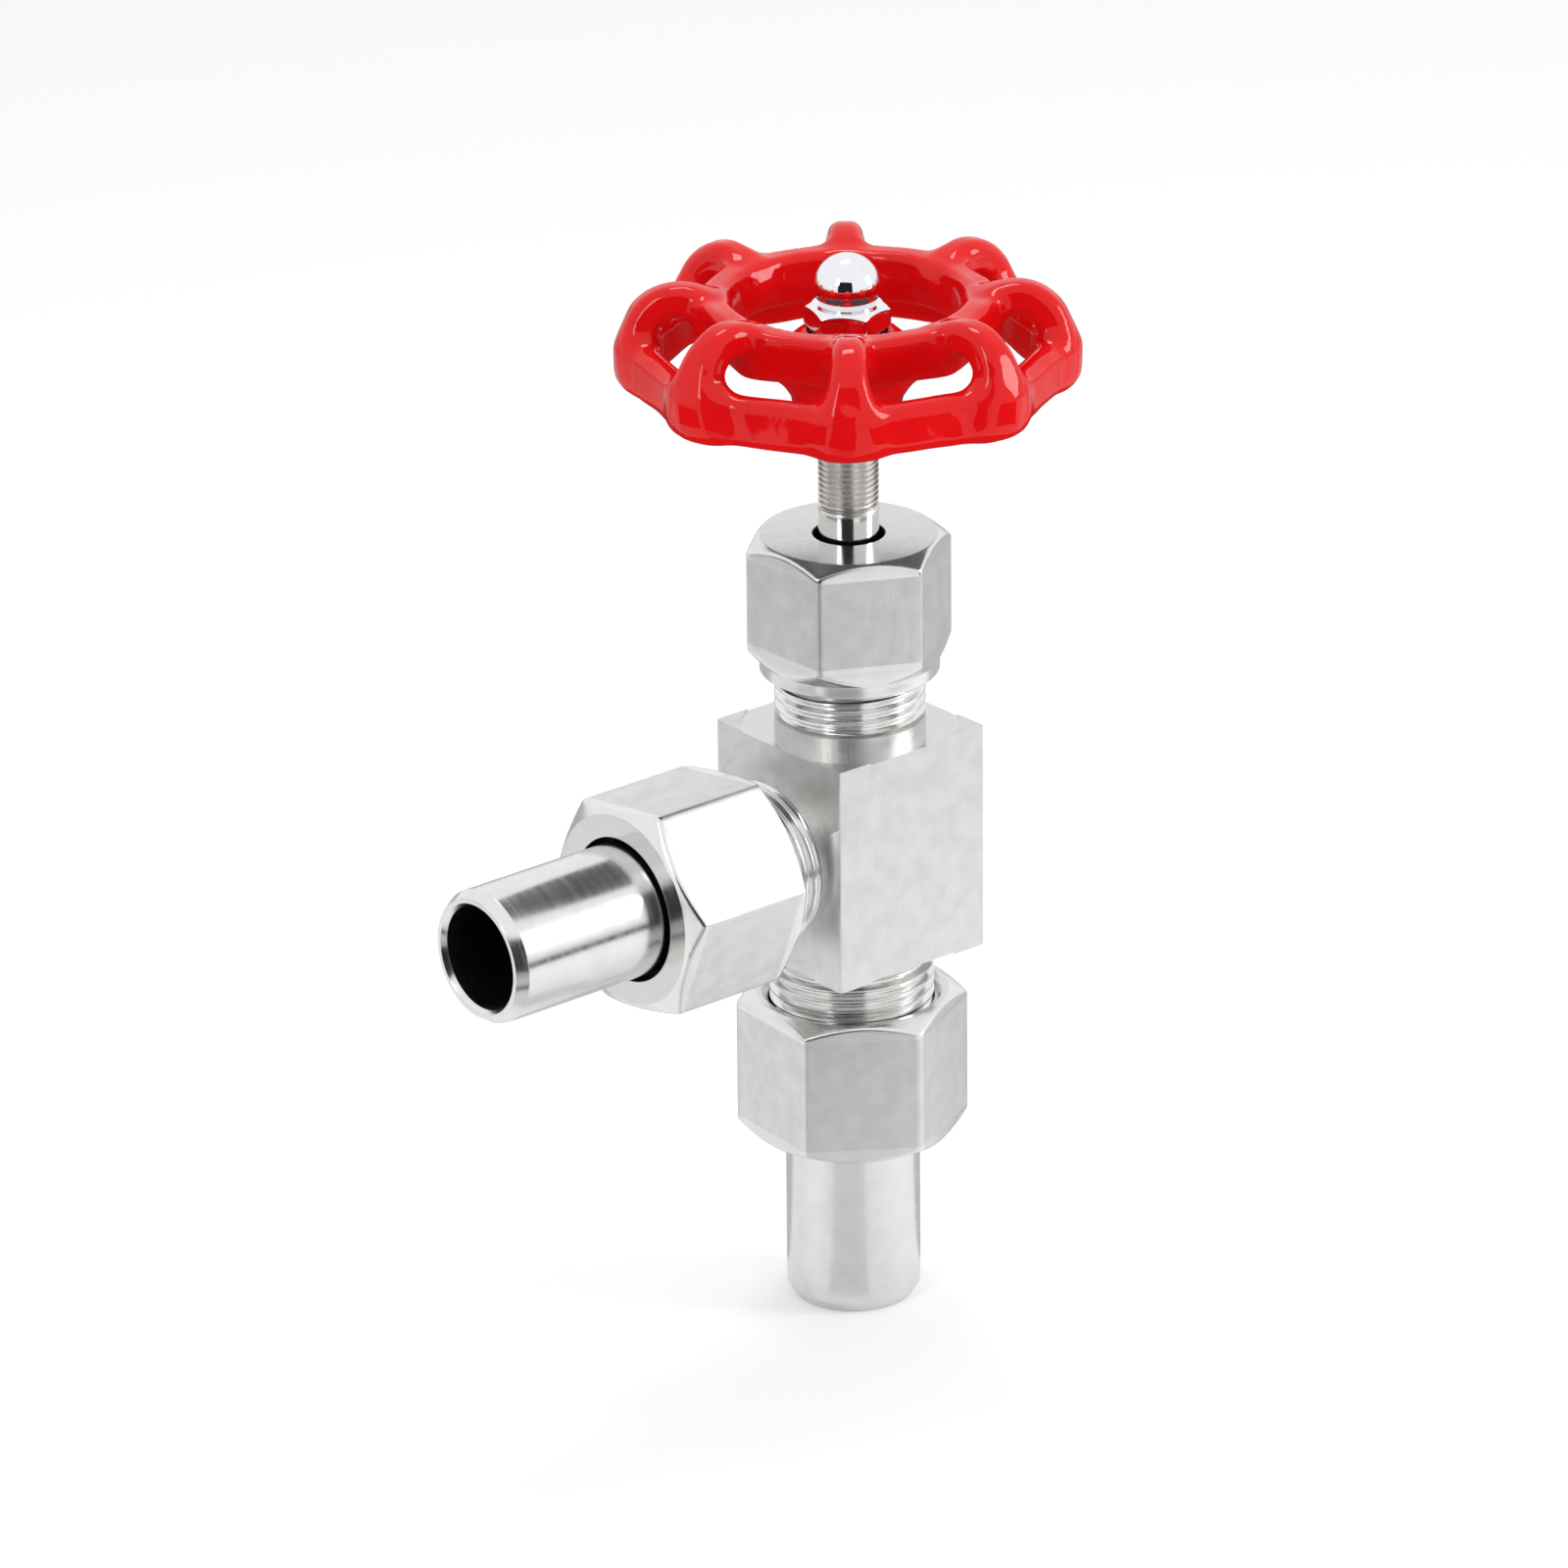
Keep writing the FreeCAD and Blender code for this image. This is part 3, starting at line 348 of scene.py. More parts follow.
def make_thread_tree():
    """A closed round bar with a helical groove, and a bevel at each end."""
    tree = bpy.data.node_groups.new("thread", "GeometryNodeTree")
    face = tree.interface
    face.new_socket("Geometry", in_out="OUTPUT", socket_type="NodeSocketGeometry")
    for label in ("Radius", "Depth", "Pitch", "Bottom", "Top", "Bottom Bevel", "Top Bevel", "Fade"):
        face.new_socket(label, in_out="INPUT", socket_type="NodeSocketFloat")
    for label in ("Sides", "Rows"):
        face.new_socket(label, in_out="INPUT", socket_type="NodeSocketInt")
    face.new_socket("Finish", in_out="INPUT", socket_type="NodeSocketMaterial")
    given = tree.nodes.new("NodeGroupInput").outputs

    def maths(operation, first, second=None, third=None, clamp=False):
        step = tree.nodes.new("ShaderNodeMath")
        step.operation = operation
        step.use_clamp = clamp
        for place, setting in enumerate((first, second, third)):
            if setting is None:
                continue
            if isinstance(setting, (int, float)):
                step.inputs[place].default_value = setting
            else:
                link(tree, setting, step.inputs[place])
        return step.outputs[0]

    grid = tree.nodes.new("GeometryNodeMeshGrid")
    grid.inputs["Size X"].default_value = 1.0
    grid.inputs["Size Y"].default_value = 1.0
    link(tree, given["Sides"], grid.inputs["Vertices X"])
    link(tree, given["Rows"], grid.inputs["Vertices Y"])
    where = tree.nodes.new("GeometryNodeInputPosition")
    parts = tree.nodes.new("ShaderNodeSeparateXYZ")
    link(tree, where.outputs[0], parts.inputs[0])
    round_share = maths("ADD", parts.outputs["X"], 0.5)
    up_share = maths("ADD", parts.outputs["Y"], 0.5)

    # The rows climb with the helix and stop at the ends. The first and last row close the ends at the axis.
    row_step = maths("DIVIDE", 1.0, maths("SUBTRACT", given["Rows"], 1.0))
    row = maths("SUBTRACT", maths("DIVIDE", up_share, row_step), 1.0)
    turns_up = maths("ADD", maths("DIVIDE", row, ROWS_A_TURN), maths("SUBTRACT", round_share, 1.0))
    climbing = maths("MULTIPLY_ADD", turns_up, given["Pitch"], given["Bottom"])
    along = maths("MAXIMUM", given["Bottom"], maths("MINIMUM", given["Top"], climbing))
    half_step = maths("MULTIPLY", row_step, 0.5)
    not_first = maths("GREATER_THAN", up_share, half_step)
    not_last = maths("LESS_THAN", up_share, maths("SUBTRACT", 1.0, half_step))
    open_row = maths("MULTIPLY", not_first, not_last)

    phase = maths("FRACT", maths("SUBTRACT", maths("DIVIDE", along, given["Pitch"]), round_share))
    ridge = maths("ABSOLUTE", maths("MULTIPLY_ADD", phase, 2.0, -1.0))
    groove = maths("DIVIDE", maths("SUBTRACT", ridge, 0.14), 0.68, clamp=True)
    from_low = maths("SUBTRACT", along, given["Bottom"])
    from_high = maths("SUBTRACT", given["Top"], along)
    fade = maths("DIVIDE", from_low, given["Fade"], clamp=True)
    cut = maths("MULTIPLY", maths("MULTIPLY", groove, given["Depth"]), fade)
    threaded = maths("SUBTRACT", given["Radius"], cut)
    low_cone = maths("ADD", maths("SUBTRACT", given["Radius"], given["Bottom Bevel"]), from_low)
    high_cone = maths("ADD", maths("SUBTRACT", given["Radius"], given["Top Bevel"]), from_high)
    reach = maths("MINIMUM", threaded, maths("MINIMUM", low_cone, high_cone))
    reach = maths("MULTIPLY", reach, open_row)

    angle = maths("MULTIPLY", round_share, 2 * math.pi)
    place = tree.nodes.new("ShaderNodeCombineXYZ")
    link(tree, maths("MULTIPLY", reach, maths("COSINE", angle)), place.inputs["X"])
    link(tree, maths("MULTIPLY", reach, maths("SINE", angle)), place.inputs["Y"])
    link(tree, along, place.inputs["Z"])
    move = tree.nodes.new("GeometryNodeSetPosition")
    link(tree, grid.outputs["Mesh"], move.inputs["Geometry"])
    link(tree, place.outputs[0], move.inputs["Position"])
    merge = tree.nodes.new("GeometryNodeMergeByDistance")
    merge.inputs["Distance"].default_value = 1e-7
    link(tree, move.outputs[0], merge.inputs["Geometry"])
    real = tree.nodes.new("GeometryNodeRealizeInstances")
    link(tree, merge.outputs[0], real.inputs[0])
    finish = tree.nodes.new("GeometryNodeSetMaterial")
    link(tree, real.outputs[0], finish.inputs["Geometry"])
    link(tree, given["Finish"], finish.inputs["Material"])
    out = tree.nodes.new("NodeGroupOutput")
    link(tree, finish.outputs[0], out.inputs[0])
    return tree


thread_tree = make_thread_tree()


def threaded_bar(name, radius, depth, pitch, bottom, top, low_bevel, high_bevel, fade, material):
    """A threaded bar between two heights, as a plain mesh."""
    turns = (top - bottom) / pitch
    mesh = bpy.data.meshes.new(name)
    made = bpy.data.objects.new(name, mesh)
    bpy.context.scene.collection.objects.link(made)
    growth = made.modifiers.new("thread", "NODES")
    growth.node_group = thread_tree
    settings = {
        "Radius": radius * MM, "Depth": depth * MM, "Pitch": pitch * MM,
        "Bottom": bottom * MM, "Top": top * MM,
        "Bottom Bevel": low_bevel * MM, "Top Bevel": high_bevel * MM, "Fade": fade * MM,
        "Sides": 145, "Rows": math.ceil((turns + 1) * ROWS_A_TURN) + 4, "Finish": material}
    for item in thread_tree.interface.items_tree:
        if item.in_out == "INPUT":
            growth[item.identifier] = settings[item.name]
    bake(made)
    face_outwards(made)
    crease(made, 50)
    return made


def crease(piece, degrees):
    """Shade smooth, but keep edges sharper than an angle crisp."""
    mesh = piece.data
    # Normals carried over from the cutters would bend the flat faces.
    carried = mesh.attributes.get("custom_normal")
    if carried:
        mesh.attributes.remove(carried)
    mesh.polygons.foreach_set("use_smooth", [True] * len(mesh.polygons))
    mesh.set_sharp_from_angle(angle=math.radians(degrees))


def carve(piece, cutter, operation="DIFFERENCE"):
    """Cut one piece with another, which is used up."""
    cut = piece.modifiers.new("cut", "BOOLEAN")
    cut.object = cutter
    cut.operation = operation
    cut.solver = "MANIFOLD"
    bake(piece)
    bpy.data.objects.remove(cutter)
    return piece


def rod(name, radius, low, high, material, sides=192):
    """A plain round cutter."""
    return lathe(name, [(0, low, 0, 0), (radius, low, 0, 0), (radius, high, 0, 0), (0, high, 0, 0)],
                 [material], closed=False, sides=sides)


# Union branches

def make_union_nut(name, corner, bar, turned):
    """Hexagon nut: chamfered ends, hole for the tail, shoulder, thread bore and mouth."""
    low, high = NUT_LOW, NUT_LOW + NUT_HEIGHT
    reach, face = 16.6, 12.9
    drop = (reach - face) * math.tan(math.radians(30))
    hole, shoulder = 9.75, low + 5.0
    thread, mouth, mouth_depth = 11.05, 12.2, 1.15
    outline = [
        (hole, low, 0.15, 1),
        (face, low, 0.12, 2),
        (reach, low + drop, 0, 0),
        (reach, high - drop, 0, 2),
        (face, high, 0.12, 1),
        (mouth, high, 0.1, 2),
        (thread, high - mouth_depth, 0.1, 3),
        (thread, shoulder, 0.1, 3),
        (hole, shoulder, 0.15, 3)]
    finishes = [bar, faced_steel, turned, painted_shade_bore]
    return lathe(name, outline, finishes, flats=NUT_FLATS, corner=corner, longest=LONGEST_RUN)


def make_tail(name, turned):
    """Weld tail with its bevels, the stretch inside the nut and the collar."""
    bore, outside, in_nut, collar = 7.0, 9.0, 8.9, 10.6
    in_nut_low, collar_low, collar_high = 23.9, 29.2, 33.2
    outline = [
        (7.5, 0.0, 0.08, 0),
        (8.1, 0.0, 0.1, 0),
        (outside, 1.5, 0.12, 0),
        (outside, in_nut_low, 0.05, 0),
        (in_nut, in_nut_low, 0.02, 0),
        (in_nut, collar_low, 0.1, 0),
        (collar, collar_low, 0.15, 0),
        (collar, collar_high, 0.15, 0),
        (bore, collar_high, 0.1, 1),
        (bore, 2.5, 0, 0),
        (bore, 0.7, 0.05, 0)]
    return lathe(name, outline, [turned, painted_shade_bore])


def make_stub(name, radius, low, high, *bores):
    """Threaded stub between two heights, bored out by rods of (radius, low, high)."""
    bevel, no_fade = THREAD_DEPTH, 0.01
    thread = threaded_bar(name, radius, THREAD_DEPTH, STUB_PITCH, low, high, bevel, bevel, no_fade, thread_steel)
    for bore_radius, bore_low, bore_high in bores:
        carve(thread, rod(name + "_bore", bore_radius, bore_low, bore_high, painted_shade_bore))
    crease(thread, 50)
    return thread


bottom_nut = make_union_nut("bottom_union_nut_steel", 25.5, bar_steel, turned_steel)
side_nut = to_side(make_union_nut("side_union_nut_steel", 52.1, side_bar_steel, side_turned_steel))
bottom_tail = make_tail("bottom_tail_steel", turned_steel)
side_tail = to_side(make_tail("side_tail_steel", side_turned_steel))
port = (PORT_RADIUS, STUB_END - 2, BLOCK_LOW + 2)
stub_high = BLOCK_LOW - UNION_NECK
bottom_thread = make_stub("bottom_stub_thread", STUB_RADIUS, STUB_END, stub_high, port)
side_thread = to_side(make_stub("side_stub_thread", STUB_RADIUS, STUB_END, stub_high, port))


# Block

def make_block():
    """Square bar with lathe-faced circles, necks to its three stubs and its bores."""
    half, low, high = BLOCK_HALF, BLOCK_LOW, BLOCK_HIGH
    square = ((-half, -half), (half, -half), (half, half), (-half, half))
    corners = [(x, y, z) for z in (low, high) for x, y in square]
    faces = [(3, 2, 1, 0), (4, 5, 6, 7), (0, 1, 5, 4), (1, 2, 6, 5), (2, 3, 7, 6), (3, 0, 4, 7)]
    block = piece_from("valve_block", corners, faces, [bar_steel, faced_steel])
    work = bmesh.new()
    work.from_mesh(block.data)
    upright = [e for e in work.edges if abs(e.verts[0].co.z - e.verts[1].co.z) > 0.01]
    bmesh.ops.bevel(work, geom=upright, offset=0.3 * MM, segments=2, profile=0.5, affect="EDGES")
    work.to_mesh(block.data)
    work.free()

    # A cutter reaches past the face it cuts, and a neck starts inside the block.
    over, root = 3.0, 1
    facing, depth, side_depth = 14.4, 0.25, 0.04
    side_face = SIDE_REACH - half
    carve(block, rod("top_facing", facing, high - depth, high + over, faced_steel))
    carve(block, rod("bottom_facing", facing, low - over, low + depth, faced_steel))
    carve(block, to_side(rod("side_facing", facing, side_face - over, side_face + side_depth, satin_steel)))

    top_neck, union_neck = 10.0, 10.3
    neck_start, neck_end = side_face - UNION_NECK, side_face + root
    carve(block, rod("top_neck", top_neck, high - root, high + TOP_NECK, thread_steel), "UNION")
    carve(block, rod("bottom_neck", union_neck, low - UNION_NECK, low + root, turned_steel), "UNION")
    carve(block, to_side(rod("side_neck", union_neck, neck_start, neck_end, side_turned_steel)), "UNION")

    port_end, orifice_low, seat_low, seat_high, seat_wide = 51.4, 51.0, 57.42, 59.06, 3.95
    chamber_low, chamber_high, spindle = 59.0, 74.0, 5.0
    carve(block, to_side(rod("side_bore", PORT_RADIUS, side_face - over, SIDE_REACH, painted_shade_bore)))
    carve(block, rod("lower_bore", PORT_RADIUS, low - over, port_end, painted_shade_bore))
    carve(block, rod("chamber", PORT_RADIUS, chamber_low, chamber_high, painted_shade_bore))
    carve(block, rod("spindle_hole", spindle, chamber_high - root, high + over, painted_shade_bore))
    carve(block, rod("orifice", ORIFICE_RADIUS, orifice_low, 58.0, painted_shade_bore))
    seat = [
        (0, seat_low, 0, 0), (ORIFICE_RADIUS, seat_low, 0, 0), (seat_wide, seat_high, 0, 0), (0, seat_high, 0, 0)]
    carve(block, lathe("seat", seat, [painted_shade_bore], closed=False))
    crease(block, 25)
    block.modifiers.new("even_normals", "WEIGHTED_NORMAL").keep_sharp = True
    return bake(block)


block = make_block()
spindle_hole, stuffing_box = (5.0, 83.0, 87.0), (PORT_RADIUS, 86.0, 102.0)
top_thread = make_stub("top_stub_thread", TOP_STUB_RADIUS, BLOCK_HIGH + TOP_NECK, 100.0, spindle_hole, stuffing_box)


# Gland, stem and acorn nut

def make_gland_nut():
    """Hexagon with a chamfered top, a round collar below and a hole for the stem."""
    low, high = GLAND_LOW, GLAND_HIGH
    reach, face = 14.8, 11.7
    top_drop = (reach - face) * math.tan(math.radians(36))
    thread, mouth, collar, hole, roof = 10.05, 10.46, 11.9, 4.7, high - 6.0
    hex_low = low + 2.5
    outline = [
        (thread, low, 0.1, 2),
        (mouth, low, 0.1, 2),
        (collar, low + 0.9, 0.15, 2),
        (collar, hex_low, 0.15, 2),
        (reach, hex_low + reach - collar, 0, 0),
        (reach, high - top_drop, 0, 2),
        (face, high, 0.15, 1),
        (hole, high, 0.15, 3),
        (hole, roof, 0.1, 3),
        (thread, roof, 0.1, 3)]
    finishes = [bar_steel, faced_steel, turned_steel, painted_shade_bore]
    return lathe("gland_nut_steel", outline, finishes, flats=GLAND_FLATS, corner=32.4, longest=LONGEST_RUN)


def make_acorn_nut():
    """Domed nut, mirror bright."""
    low = HUB_TOP
    high = low + 3.5
    reach, face = 6.2, 4.6
    drop = (reach - face) * math.tan(math.radians(30))
    middle, dome = low + 5.9, 4.35
    neck = 3.66
    first = math.asin(neck / dome)
    hole, hole_end = 3.05, low + 7.2
    outline = [
        (0, hole_end, 0, 0),
        (hole, hole_end, 0, 0),
        (hole, low, 0.05, 0),
        (face, low, 0.1, 0),
        (reach, low + drop, 0, 0),
        (reach, high - drop, 0, 0),
        (face, high, 0.1, 0),
        (neck, high, 0.15, 0)]
    steps = 22
    for step in range(steps):
        angle = math.pi - first + (first - math.pi) * step / steps
        outline.append((dome * math.sin(angle), middle + dome * math.cos(angle), 0, 0))
    outline.append((0, middle + dome, 0, 0))
    return lathe("acorn_nut_chrome", outline, [chrome], closed=False, flats=10.0, corner=13.4, longest=0.3)


def make_stem():
    """Smooth lower stem with its lifting thread, the fine thread above and the tip."""
    foot, groove, foot_end = 2.5, 2.12, 67.99
    groove_low, groove_high = 65.61, 66.57
    lower = lathe("stem_lower", [
        (0, 64.59, 0, 0),
        (foot, 64.59, 0.1, 0),
        (foot, groove_low, 0.05, 0),
        (groove, groove_low, 0.05, 0),
        (groove, groove_high, 0.05, 0),
        (foot, groove_high, 0.05, 0),
        (foot, foot_end, 0.1, 0),
        (STEM_RADIUS, foot_end, 0.1, 0),
        (STEM_RADIUS, THREAD_START, 0, 0),
        (0, THREAD_START, 0, 0)], [stem_steel], closed=False, sides=128)
    crease(lower, 50)
    # Radius, depth, pitch, bottom, top, bevels below and above, and the fade at the bottom.
    lifting = threaded_bar("stem_lifting_thread", 4.95, 0.6, 1.0, 71.0, 82.0, 0.8, 0.8, 0.01, thread_steel)
    fine = threaded_bar("stem_fine_thread", STEM_RADIUS, 0.42, 0.75, THREAD_START, THREAD_END, 0, 0, 1.5,
                        fine_thread_steel)
    tip = threaded_bar("stem_tip_thread", TIP_RADIUS, 0.55, 1.0, THREAD_END, 143.75, 0, 0.5, 0.01, thread_steel)
    return [lower, lifting, fine, tip]


gland_nut = make_gland_nut()
acorn_nut = make_acorn_nut()
stem_pieces = make_stem()


# Handwheel

def low_blend(first, second, width):
    """The lesser of two distances, flowing from one to the other."""
    share = np.clip(0.5 + 0.5 * (second - first) / width, 0, 1)
    return second * (1 - share) + first * share - width * share * (1 - share)


def high_blend(first, second, width):
    """The greater of two distances, flowing from one to the other."""
    return -low_blend(-first, -second, width)


def rounded_bar(across, up, half_across, half_up, rounding):
    """Distance to a rounded rectangle."""
    far_across = np.abs(across) - half_across + rounding
    far_up = np.abs(up) - half_up + rounding
    outside = np.hypot(np.maximum(far_across, 0), np.maximum(far_up, 0))
    return outside + np.minimum(np.maximum(far_across, far_up), 0) - rounding


def run_distance(x, z, start, end):
    """Distance from points to a straight run."""
    step = np.subtract(end, start)
    share = np.clip(((x - start[0]) * step[0] + (z - start[1]) * step[1]) / (step @ step), 0, 1)
    return np.hypot(x - start[0] - share * step[0], z - start[1] - share * step[1])


EIGHTH, QUARTER = math.pi / 4, math.pi / 2
WHEEL_TURN = math.radians(50)


def wheel_distance(points):
    """Signed distance to the handwheel, from its rim's lower face up."""
    x, y, z = points.T
    radius = np.hypot(x, y)
    angle = np.arctan2(y, x) - WHEEL_TURN
    folded = np.abs((angle + EIGHTH / 2) % EIGHTH - EIGHTH / 2)
    along, aside = radius * np.cos(folded), radius * np.sin(folded)

    # Rim: straight sides between arms, drawn in a little half-way.
    corner, middle, wall, high = 30.4, 27.4, 3.9, 6.7
    step = np.array([middle * math.cos(EIGHTH / 2) - corner, middle * math.sin(EIGHTH / 2)])
    step /= np.linalg.norm(step)
    face = math.atan2(-step[0], step[1])
    offset = corner * math.cos(face)
    own = along * math.cos(face) + aside * math.sin(face) - offset
    mirrored = along * math.cos(face) - aside * math.sin(face) - offset
    beside = along * math.cos(EIGHTH - face) + aside * math.sin(EIGHTH - face) - offset
    outer = low_blend(high_blend(own, mirrored, 1.2), beside, 1.0)
    rim = rounded_bar(outer + wall / 2, z - high / 2, wall / 2, high / 2, 1.75)

    # Arm: up from the rim, round an arch and down to the inner ring.
    line, bend, spring, foot = 27.0, 5.1, 6.8, 3.0
    centre_x = line - bend
    inner = (17.0, 9.4)
    crest_angle = math.radians(117)
    crest = (centre_x + bend * math.cos(crest_angle), spring + bend * math.sin(crest_angle))
    turn_at = np.arctan2(z - spring, along - centre_x)
    arch = np.abs(np.hypot(along - centre_x, z - spring) - bend)
    arch = np.where((turn_at >= 0) & (turn_at <= crest_angle), arch, 99.0)
    leg = run_distance(along, z, (line, foot), (line, spring))
    slope = run_distance(along, z, crest, inner)
    spine = np.minimum(np.minimum(arch, leg), slope)
    half_wide = np.interp(z, [3.0, 7.0, 12.0], [3.9, 3.1, 2.3])
    half_thick, rounding = 2.2, 1.75
    far_up = spine - half_thick + rounding
    far_aside = aside - half_wide + rounding
    outside = np.hypot(np.maximum(far_up, 0), np.maximum(far_aside, 0))
    arm = outside + np.minimum(np.maximum(far_up, far_aside), 0) - rounding

    # Inner ring: eight leaning sides round a round opening.
    ring_low, ring_high = 5.7, 12.6
    apothem = np.interp(z, [ring_low, ring_high], [17.9, 19.3])
    side = along * math.cos(EIGHTH / 2) + aside * math.sin(EIGHTH / 2) - apothem
    ring_out = high_blend(side, along * math.cos(EIGHTH / 2) - aside * math.sin(EIGHTH / 2) - apothem, 0.8)
    opening = np.interp(z, [ring_low, ring_high], [15.6, 15.3])
    ring_across = np.maximum(ring_out, opening - radius)
    ring_width = apothem - opening
    ring = rounded_bar(ring_across + ring_width / 2, z - (ring_low + ring_high) / 2, ring_width / 2,
                       (ring_high - ring_low) / 2, 1.2)

    # Webs and hub.
    quarter = np.abs((angle + QUARTER / 2) % QUARTER - QUARTER / 2)
    web_along, web_aside = radius * np.cos(quarter), radius * np.sin(quarter)
    web_top = np.interp(web_along, [9.0, 16.1], [6.0, 6.7])
    web_foot = np.interp(web_along, [9.0, 16.1], [1.3, 4.5])
    web = rounded_bar(web_aside, z - (web_top + web_foot) / 2, 2.4, (web_top - web_foot) / 2, 1.0)
    web = np.maximum(web, web_along - 17.0)
    shoulder = np.interp(z, [-4.0, -1.3, 1.3, 4.4, 7.6], [6.9, 7.4, 9.0, 9.0, 6.1])
    hub = high_blend(radius - shoulder, np.abs(z - 1.8) - 5.8, 0.9)

    wheel = low_blend(rim, arm, 3.0)
    wheel = low_blend(wheel, ring, 1.8)
    wheel = low_blend(wheel, low_blend(web, hub, 1.6), 1.6)

    # The casting is a little uneven: waves of (length, height) in chance directions.
    lumps = np.zeros_like(x)
    chance = np.random.default_rng(7)
    waves = ((12.0, 0.05), (12.0, 0.05), (8.0, 0.03), (8.0, 0.03), (4.0, 0.012), (4.0, 0.012))
    for wavelength, size in waves:
        heading = chance.normal(size=3)
        heading *= 2 * math.pi / wavelength / np.linalg.norm(heading)
        lumps += size * np.sin(points @ heading + chance.uniform(0, 2 * math.pi))
    wheel = wheel + lumps

    # Bore for the stem, square hole and the washer's recess stay sharp.
    stem_hole = np.maximum(radius - (STEM_RADIUS + 0.05), z + 0.4)
    recess = np.maximum(radius - 5.2, 6.0 - z)
    square = np.maximum(np.abs(radius * np.cos(angle)), np.abs(radius * np.sin(angle))) - 3.1
    return np.maximum(wheel, -np.minimum(np.minimum(stem_hole, recess), square))


def skin(distance, low, high, step):
    """Quads round the zero level of a distance, in cells of one step, then drawn onto that level."""
    axes = [np.arange(a, b + step, step) for a, b in zip(low, high)]
    shape = tuple(len(axis) for axis in axes)
    grid = np.stack(np.meshgrid(*axes, indexing="ij"), -1).reshape(-1, 3)
    field = distance(grid).reshape(shape)
    cells = tuple(size - 1 for size in shape)
    total = np.zeros((*cells, 3))
    count = np.zeros(cells)
    crossings = []
    for axis in range(3):
        first = np.take(field, np.arange(shape[axis] - 1), axis)
        second = np.take(field, np.arange(1, shape[axis]), axis)
        crossed = (first < 0) != (second < 0)
        places = np.argwhere(crossed)
        others = [other for other in range(3) if other != axis]
        inside = np.all([(places[:, o] > 0) & (places[:, o] < shape[o] - 1) for o in others], axis=0)
        places = places[inside]
        start, end = first[tuple(places.T)], second[tuple(places.T)]
        spot = places.astype(float)
        spot[:, axis] += start / (start - end)
        crossings.append((axis, others, places, start < 0))
        for one in (0, 1):
            for two in (0, 1):
                cell = places.copy()
                cell[:, others[0]] -= one
                cell[:, others[1]] -= two
                np.add.at(total, tuple(cell.T), spot)
                np.add.at(count, tuple(cell.T), 1)
    used = np.argwhere(count > 0)
    number = np.full(cells, -1)
    number[tuple(used.T)] = np.arange(len(used))
    origin = np.array([axis[0] for axis in axes])
    verts = total[tuple(used.T)] / count[tuple(used.T)][:, None] * step + origin
    faces = []
    for axis, others, places, outward in crossings:
        ring = []
        for one, two in ((0, 0), (1, 0), (1, 1), (0, 1)):
            cell = places.copy()
            cell[:, others[0]] -= one
            cell[:, others[1]] -= two
            ring.append(number[tuple(cell.T)])
        ring = np.stack(ring, 1)
        flip = outward if axis != 1 else ~outward
        ring[~flip] = ring[~flip][:, ::-1]
        faces.append(ring)
    small = 0.02
    for repeat in range(3):
        here = distance(verts)
        rises = [distance(verts + small * unit) - distance(verts - small * unit) for unit in np.eye(3)]
        slope = np.stack(rises, 1)
        slope /= 2 * small
        size = np.maximum((slope ** 2).sum(1), 0.3)
        verts = verts - np.clip(here / size, -step, step)[:, None] * slope
    return verts, np.concatenate(faces).tolist()


def make_handwheel():
    """The cast wheel in one skin."""
    step = 0.42
    verts, faces = skin(wheel_distance, (-31.5, -31.5, -5.0), (31.5, 31.5, 15.4), step)
    verts[:, 2] += WHEEL_BASE
    wheel = piece_from("handwheel_enamel", verts, faces, [red_enamel])
    work = bmesh.new()
    work.from_mesh(wheel.data)
    bmesh.ops.recalc_face_normals(work, faces=work.faces)
    work.to_mesh(wheel.data)
    work.free()
    crease(wheel, 60)
    return wheel


wheel = make_handwheel()


# What each piece stands for and rides on

def dress(piece, body, slot, *nodes):
    """Give a piece its body and hide the solids it stands for. The finish in slot is not used."""
    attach(piece, body)
    if nodes:
        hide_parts(*nodes)


dress(block, "valve", "stainless_block", "valve_body")
dress(top_thread, "valve", "stainless_block")
dress(bottom_thread, "valve", "stainless_block")
dress(side_thread, "valve", "stainless_block")
dress(gland_nut, "valve", "stainless_nut", "gland_nut")
dress(bottom_tail, "bottom_tail_group", "stainless_tail", "bottom_tail")
dress(side_tail, "side_tail_group", "stainless_tail", "side_tail")
dress(bottom_nut, "bottom_nut", "stainless_nut", "bottom_union_nut")
dress(side_nut, "side_nut", "stainless_nut", "side_union_nut")
dress(stem_pieces[0], "spindle", "stem_steel", "stem")
for extra in stem_pieces[1:]:
    dress(extra, "spindle", "stem_steel")
dress(wheel, "spindle", "red_enamel", "handwheel")
dress(acorn_nut, "spindle", "chrome_plate", "acorn_nut")

kept = {
    "needle": stem_steel,
    "thrust_ball": chrome,
    "retaining_wire": dark_spring,
    "packing_washer": turned_steel,
    "packing_ring_lower": packing_white,
    "packing_ring_middle": packing_white,
    "packing_ring_upper": packing_white,
    "gland_follower": turned_steel,
    "spring_washer": dark_spring,
    "bottom_gasket": gasket_grey,
    "side_gasket": gasket_grey}
for name, material in kept.items():
    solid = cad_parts[name]
    solid.data.materials.clear()
    solid.data.materials.append(material)


# Studio

